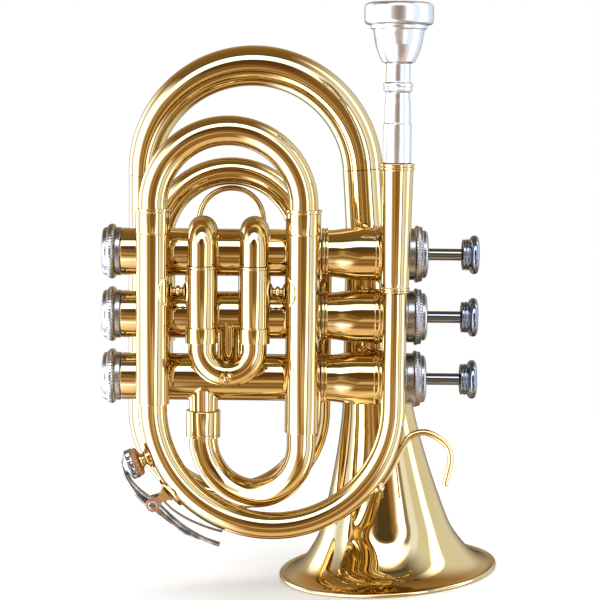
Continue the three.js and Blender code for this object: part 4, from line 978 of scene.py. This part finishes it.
# Water key: a cup and cork over a hole in the leadpipe's bow, on a lever between two cheeks.
# Places along the bow are degrees round it, and heights are above its outer side.
waterKey = {
    "hole": 202.6, "pivot": 219.6, "pivotHeight": 8.2,
    # The lever and the spring as [degrees, height of the middle, thickness, width]
    "lever": [
        (200.4, 10.7, 0.9, 3.2), (203, 11.2, 1.3, 3.9), (207, 11.3, 1.9, 4.6),
        (211, 10.9, 2.7, 4.9), (215, 10.1, 3.9, 5), (219.6, 8.9, 4.8, 5), (224, 8.3, 4.3, 5),
        (229, 8.0, 3.7, 5), (234, 7.8, 3.1, 5), (239, 7.2, 2.0, 5), (244, 6.8, 1.4, 5),
        (249.5, 6.3, 1.3, 5),
    ],
    "cup": [
        (5.6, 0), (5.6, 6.05), (5.8, 6.3), (8.4, 6.3), (8.9, 5.6), (9.6, 4.3), (10.3, 3.2),
        (10.3, 0),
    ],
    "slots": {"from": 6.3, "to": 8.2, "depth": 0.8, "count": 8},
    "cork": [(3.9, 0), (3.9, 5.5), (4.1, 5.8), (5.6, 5.9), (5.6, 0)],
    "barrel": [(-2.7, 1.4), (-2.7, 2.5), (2.7, 2.5), (2.7, 1.4)],
    "nipple": [
        (-1.5, 1.3), (-1.5, 4.1), (0.35, 4.1), (1.0, 3.2), (1.6, 2.5), (2.3, 2.5), (2.6, 3.2),
        (3.2, 3.4), (3.6, 3.2), (3.6, 1.3),
    ],
    "pin": [(-4.6, 0), (-4.6, 1.1), (4.6, 1.1), (4.6, 0)],
    "screw": [(4.3, 0), (4.3, 1.9), (4.75, 1.9), (5.05, 1.5), (5.05, 0)],
    "spring": [
        (219.6, 4.3, 0.4, 3.8), (225, 4.3, 0.4, 3.8), (229, 3.85, 0.4, 3.8),
        (233, 3.3, 0.4, 3.8), (238, 2.45, 0.4, 3.8), (243, 1.65, 0.4, 3.8),
        (248.6, 0.76, 0.4, 3.8),
    ],
    # The saddle's foot: half its length and of its wrap round the tube, in degrees, its middle
    # beyond the pivot, and its two skins' heights
    "footHalf": 7.5, "footWrap": 62, "footBeyond": 1, "footUnder": 0.1, "footEdge": 0.15,
    "footThick": 0.85,
}
# Plates about the pivot, in the bow's plane, and how far across the key each one reaches
keyPlates = {
    "cheek": {"side": [(1.6, -5.6), (1.5, -3.6), (2.3, -1.9)], "head": 2.9, "span": (3.0, 4.3)},
    "neck": {
        "outline": [
            (3.6, -7.7), (2.2, -6.2), (1.8, -4.6), (-1.8, -4.6), (-2.2, -6.2), (-3.6, -7.7),
        ],
        "span": (2.8, 4.45),
    },
    # The screw's slot: a thin plate standing just proud of the screw's head, in painted shade
    "screwSlot": {
        "outline": [(-1.35, -1.05), (-1.05, -1.35), (1.35, 1.05), (1.05, 1.35)],
        "span": (-5.12, -4.9), "bevel": 0.05,
    },
}
keyOut = outward(waterKey["pivot"])
keySide = np.cross(alongY, keyOut)
pivot = onBow(waterKey["pivot"], waterKey["pivotHeight"])
holePlace, holeOut = onBow(waterKey["hole"], 0), outward(waterKey["hole"])


# A bar along the bow with a rounded square section: at each angle, its height plus half its
# thickness times the root of the sine, and half its width times the root of the cosine. Its
# first and last angles are repeated, so that its ends close flat.
def barShape(sizes, steps):
    sizes = np.array(sizes)
    angles = np.linspace(sizes[0, 0], sizes[-1, 0], steps)
    angles = np.concatenate([angles[:1], angles, angles[-1:]])
    heights, thickness, widths = (smoothOf(sizes[:, [0, k]], angles) for k in (1, 2, 3))
    around = np.radians(np.arange(0, 360, 15))
    x = np.sign(np.cos(around)) * np.sqrt(np.abs(np.cos(around)))
    y = np.sign(np.sin(around)) * np.sqrt(np.abs(np.sin(around)))
    closing = np.ones(len(angles))
    closing[[0, -1]] = 0
    rise = heights[:, None] + np.outer(thickness * closing / 2, y)
    sideways = np.outer(widths * closing / 2, x)[..., None]
    points = onBow(angles[:, None], rise) + alongY * sideways
    return points.reshape(-1, 3), gridQuads(len(angles), len(around))


# A pointed foot on the outer side of the bow: its two skins lie close to the tube, and its
# reach round the tube shrinks from the middle to both ends, with the 1.6th power of the way
# there. Over the last ninth of that way both skins sink towards the tube.
def saddleFootShape():
    share = np.linspace(-1, 1, 41)[:, None]
    angle = waterKey["pivot"] + waterKey["footBeyond"] + waterKey["footHalf"] * share
    half = np.radians(waterKey["footWrap"]) * (1 - np.abs(share) ** 1.6)
    across = np.linspace(-1, 1, 25)
    wrap = half * np.concatenate([across, across[::-1]])
    rise = waterKey["footEdge"] + waterKey["footThick"] * (1 - across ** 6)
    lift = np.concatenate([rise, np.full(len(across), waterKey["footUnder"])])
    radial = leadAt(angle) + lift * np.minimum(1, 8 * (1 - np.abs(share)) + 0.1)
    spoke = (leadRadius + radial * np.cos(wrap))[..., None]
    points = leadCentre + outward(angle) * spoke + alongY * (radial * np.sin(wrap))[..., None]
    return points.reshape(-1, 3), gridQuads(*wrap.shape)


# A flat plate in the plane of the bow, with bevelled edges: its outline at four depths,
# drawn in by the bevel at both faces, and closed at their middles
def plateShape(outline, low, high, bevel=0.25):
    outline = np.asarray(outline, float)
    middle = outline.mean(0)
    depths = np.array([low, low, low + bevel, high - bevel, high, high])
    away = outline - middle
    drawn = 1 - bevel / np.linalg.norm(away, axis=1, keepdims=True)
    full = 1 + 0 * drawn
    flat = middle + away * np.stack([0 * drawn, drawn, full, full, drawn, 0 * drawn])
    inPlane = pivot + flat[..., :1] * keySide + flat[..., 1:] * keyOut
    points = inPlane + depths[:, None, None] * alongY
    return points.reshape(-1, 3), gridQuads(len(depths), len(outline))


# The same plate on both sides of the key
def platePair(outline, span):
    low, high = span
    return together(plateShape(outline, low, high), plateShape(outline, -high, -low))


# Two plates: a round head about the pivot, on sides that run down to the foot
def cheekShape():
    cheek = keyPlates["cheek"]
    around = np.radians(np.arange(-15, 196, 15))
    head = cheek["head"] * np.stack([np.cos(around), np.sin(around)], 1)
    right = np.array(cheek["side"])
    return platePair(np.vstack([right, head, right[::-1] * (-1, 1)]), cheek["span"])


# A turned piece of the key, over the hole or about the pivot
def keyTurned(name, radius, sides, shell=False, overHole=False, axis=alongY):
    place, axis = (holePlace, holeOut) if overHole else (pivot, axis)
    return turned(rounded(waterKey[name], radius), place, axis, sides, looped=shell)


# The lever, its barrel, and the cup with its slots
def keyShape():
    cup = turned(refined(rounded(waterKey["cup"], 0.3), 0.25), holePlace, holeOut, 120,
                 knurl=waterKey["slots"])
    return together(barShape(waterKey["lever"], 60), cup, keyTurned("barrel", 0.2, 40, shell=True))


neck, screwSlot = keyPlates["neck"], keyPlates["screwSlot"]
nickel = metals["dull_nickel"]
dress("water_key_seat", keyTurned("nipple", 0.25, 56, shell=True, overHole=True))
saddleParts = saddleFootShape(), keyTurned("pin", 0.2, 28), platePair(neck["outline"], neck["span"])
dress("water_key_saddle", together(*saddleParts))
meshPiece("water_key_cheeks", cheekShape(), metals["red_brass"])
screwShape = keyTurned("screw", 0.15, 40, axis=-alongY)
meshPiece("water_key_screw", screwShape, nickel)
# The slot is a near-black plate on the screw's head, not a cut: painted shade standing in for its
# recess
slotShadeShape = plateShape(screwSlot["outline"], *screwSlot["span"], screwSlot["bevel"])
meshPiece("water_key_screw_slot_painted_shade", slotShadeShape, metals["painted_slot_shade"])
spring = barShape(waterKey["spring"], 40)
meshPiece("water_key_spring", spring, nickel)
dress("water_key", keyShape(), "dull_nickel", "water_key", metals["worn_nickel"])
meshPiece("water_key_cork", keyTurned("cork", 0.2, 56, overHole=True), cork, "water_key")
print("small pieces made")

# Camera: it looks along the instrument's Y, a little from above
view = {
    "lens": 108, "sensor": 36, "distance": 749, "pitch": 6, "roll": 0.6,
    "target": (-1.1, 0, 6.5), "clip": (0.01, 50),
}


# The camera's right, up and backwards directions, in the scene
def viewAxes():
    pitch, roll = math.radians(view["pitch"]), math.radians(view["roll"])
    forward = np.array([0, math.cos(pitch), -math.sin(pitch)])
    level = np.cross(alongX, forward)
    right = math.cos(roll) * alongX + math.sin(roll) * level
    up = math.cos(roll) * level - math.sin(roll) * alongX
    return turn @ np.stack([right, up, -forward], 1)


def addCamera(axes):
    data = bpy.data.cameras.new("camera")
    data.lens, data.sensor_width = view["lens"], view["sensor"]
    data.clip_start, data.clip_end = view["clip"]
    camera = addObject("camera", data)
    place = toScene(view["target"]) + axes[:, 2] * view["distance"] * mm
    camera.matrix_world = Matrix([[*axes[i], place[i]] for i in range(3)] + [[0, 0, 0, 1]])
    bpy.context.scene.camera = camera


viewFrame = viewAxes()
addCamera(viewFrame)

# Floor: pale, and clear further out so that it meets the white behind it. It lies a hair
# below the rim.
floorLook = {
    "half": 0.9, "below": 0.0002, "solidTo": 0.12, "clearFrom": 0.5, "roughness": 0.8,
    "grain": (3, 2), "stops": [(0.3, (0.955, 0.95, 0.945)), (0.7, (0.965, 0.96, 0.955))],
}


def floorMaterial():
    material, tree, shader = newMaterial("pale_floor")
    grain = ramp(tree, noise(tree, *floorLook["grain"]), floorLook["stops"])
    fill(tree, shader, {"Base Color": grain, "Roughness": floorLook["roughness"]})
    place = addNode(tree, "TexCoord").outputs["Object"]
    distance = addNode(tree, "VectorMath", {0: place}, operation="LENGTH").outputs["Value"]
    fade = smoothStep(tree, distance, floorLook["solidTo"], floorLook["clearFrom"])
    clear = addNode(tree, "BsdfTransparent").outputs[0]
    mix = addNode(tree, "MixShader", {0: fade, 1: shader.outputs[0], 2: clear})
    fill(tree, tree.nodes["Material Output"], {"Surface": mix.outputs[0]})
    return material


def addFloor():
    half = floorLook["half"]
    corners = [(-half, -half, 0), (half, -half, 0), (half, half, 0), (-half, half, 0)]
    floor = addObject("floor", newMesh("floor", corners, [(0, 1, 2, 3)], floorMaterial()))
    floor.location.z = -floorLook["below"]
    floor.visible_glossy = False


addFloor()

# Studio: what the metal mirrors, as tones by how many degrees a direction turns away from the
# viewer, apart for directions to the left, to the right, upwards and downwards
white, cream, mist = (3.2, 3.4, 4.0), (1.1, 1.32, 1.95), (0.92, 1.06, 1.5)
haze, pale, grey = (0.8, 0.9, 1.25), (0.72, 0.78, 0.86), (0.28, 0.26, 0.26)
warm, tan, sand = (0.86, 0.64, 0.45), (0.74, 0.58, 0.42), (0.52, 0.37, 0.22)
khaki, olive, auburn = (0.42, 0.38, 0.3), (0.15, 0.14, 0.08), (0.36, 0.21, 0.09)
brown, amber, umber = (0.24, 0.145, 0.055), (0.2, 0.11, 0.04), (0.14, 0.06, 0.018)
dark = (0.08, 0.058, 0.035)
studioTones = {
    "left": [
        (0, umber), (6, brown), (14, brown), (18, sand), (21, sand), (24, brown), (28, auburn),
        (33, tan), (39, haze), (43, white), (78, white), (84, cream), (90, haze), (98, haze),
        (106, cream), (114, white), (128, white), (138, pale), (150, khaki), (163, grey),
        (180, umber),
    ],
    "right": [
        (0, umber), (6, brown), (15, brown), (18, auburn), (22, auburn), (26, haze),
        (30, white), (37, white), (40, grey), (45, grey), (48, mist), (58, mist), (62, pale),
        (78, pale), (83, white), (92, white), (97, pale), (135, pale), (155, khaki),
        (172, dark), (180, dark),
    ],
    "top": [
        (0, umber), (8, umber), (16, dark), (24, dark), (28, grey), (30, white), (50, white),
        (54, khaki), (58, dark), (66, olive), (82, amber), (108, brown), (130, auburn),
        (150, khaki), (180, dark),
    ],
    "bottom": [
        (0, umber), (11, brown), (15, tan), (20, tan), (24, sand), (27, auburn), (30, umber),
        (34, auburn), (40, auburn), (45, brown), (52, brown), (57, sand), (62, warm),
        (86, warm), (93, sand), (99, umber), (106, umber), (111, tan), (120, sand),
        (128, umber), (140, umber), (155, auburn), (180, dark),
    ],
}
studio = {
    # The upper and lower tones are turned a little to the left, and parted a little below the
    # viewer's level, because that is what the upright tubes mirror
    "turn": math.radians(13), "lowered": 0.12, "level": 0.08,
    # How far a direction has to rise for those tones to start and to be full
    "steepFrom": 0.3, "steepTo": 0.8,
    # Brightness from a ray depth on. The depth is 2 at the studio after one reflection, and
    # metal that mirrors other metal sees the studio darker.
    "depthShares": [(0.5, 1), (2.5, 0.5), (3.5, 0.36)],
}


def addStudio():
    world = bpy.data.worlds.new("studio")
    bpy.context.scene.world = world
    world.use_nodes = True
    tree = world.node_tree
    tree.nodes.clear()
    direction = addNode(tree, "TexCoord").outputs["Generated"]

    def maths(operation, *sources):
        return addNode(tree, "Math", dict(enumerate(sources)), operation=operation).outputs[0]

    def part(axis):
        inputs = {0: direction, 1: tuple(axis)}
        return addNode(tree, "VectorMath", inputs, operation="DOT_PRODUCT").outputs["Value"]

    def blend(share, first, second):
        inputs = {"Factor": share, 6: first, 7: second}
        return addNode(tree, "Mix", inputs, data_type="RGBA").outputs[2]

    right, up, backwards = viewFrame.T
    away = maths("DIVIDE", maths("ARCCOSINE", part(backwards)), math.pi)
    tones = {
        name: ramp(tree, away, [(angle / 180, tone) for angle, tone in stops])
        for name, stops in studioTones.items()
    }
    # Steepness: the square of the rise beyond the level band, as a share of that and of the
    # square of the way sideways
    cosine, sine = math.cos(studio["turn"]), math.sin(studio["turn"])
    turnedSide, turnedUp = part(cosine * right + sine * up), part(cosine * up - sine * right)
    sideSquare = maths("MULTIPLY", turnedSide, turnedSide)
    lifted = maths("ADD", turnedUp, studio["lowered"])
    beyond = maths("SUBTRACT", maths("ABSOLUTE", lifted), studio["level"])
    beyond = maths("MAXIMUM", beyond, 0)
    upSquare = maths("MULTIPLY", beyond, beyond)
    rising = maths("DIVIDE", upSquare, maths("ADD", maths("ADD", sideSquare, upSquare), 1e-6))
    steepness = smoothStep(tree, rising, studio["steepFrom"], studio["steepTo"])
    level = blend(maths("GREATER_THAN", part(right), 0), tones["left"], tones["right"])
    steep = blend(maths("GREATER_THAN", lifted, 0), tones["bottom"], tones["top"])
    path = addNode(tree, "LightPath")
    strength = 0
    for (depth, share), (_, before) in zip(studio["depthShares"], [(0, 0)] + studio["depthShares"]):
        step = maths("GREATER_THAN", path.outputs["Ray Depth"], depth)
        strength = maths("ADD", strength, maths("MULTIPLY", step, share - before))
    mirrored = {"Color": blend(steepness, level, steep), "Strength": strength}
    plain = {"Color": (1, 1, 1, 1)}
    seen = [addNode(tree, "Background", inputs).outputs[0] for inputs in (plain, mirrored)]
    choice = {0: path.outputs["Is Glossy Ray"], 1: seen[0], 2: seen[1]}
    mixed = addNode(tree, "MixShader", choice)
    addNode(tree, "OutputWorld", {"Surface": mixed.outputs[0]})


addStudio()

lamps = {
    "key_softbox": {"place": (-0.7, -1.0, 0.7), "size": (0.6, 1.3), "energy": 5},
    "fill_softbox": {"place": (0.9, -0.8, 0.5), "size": (0.5, 1.1), "energy": 3},
    "top_softbox": {"place": (0, 0.1, 1.2), "size": (1.2, 0.9), "energy": 4},
}
lampAim = (0, 0, 0.12)


def addLamp(name, lamp):
    light = bpy.data.lights.new(name, "AREA")
    light.shape = "RECTANGLE"
    light.size, light.size_y = lamp["size"]
    light.energy = lamp["energy"]
    holder = addObject(name, light)
    holder.location = lamp["place"]
    holder.rotation_mode = "QUATERNION"
    towards = Vector(lampAim) - Vector(lamp["place"])
    holder.rotation_quaternion = towards.to_track_quat("-Z", "Y")
    holder.visible_glossy = False


for lampName, lamp in lamps.items():
    addLamp(lampName, lamp)
bpy.context.scene.view_settings.view_transform = "Standard"
print("stage made")
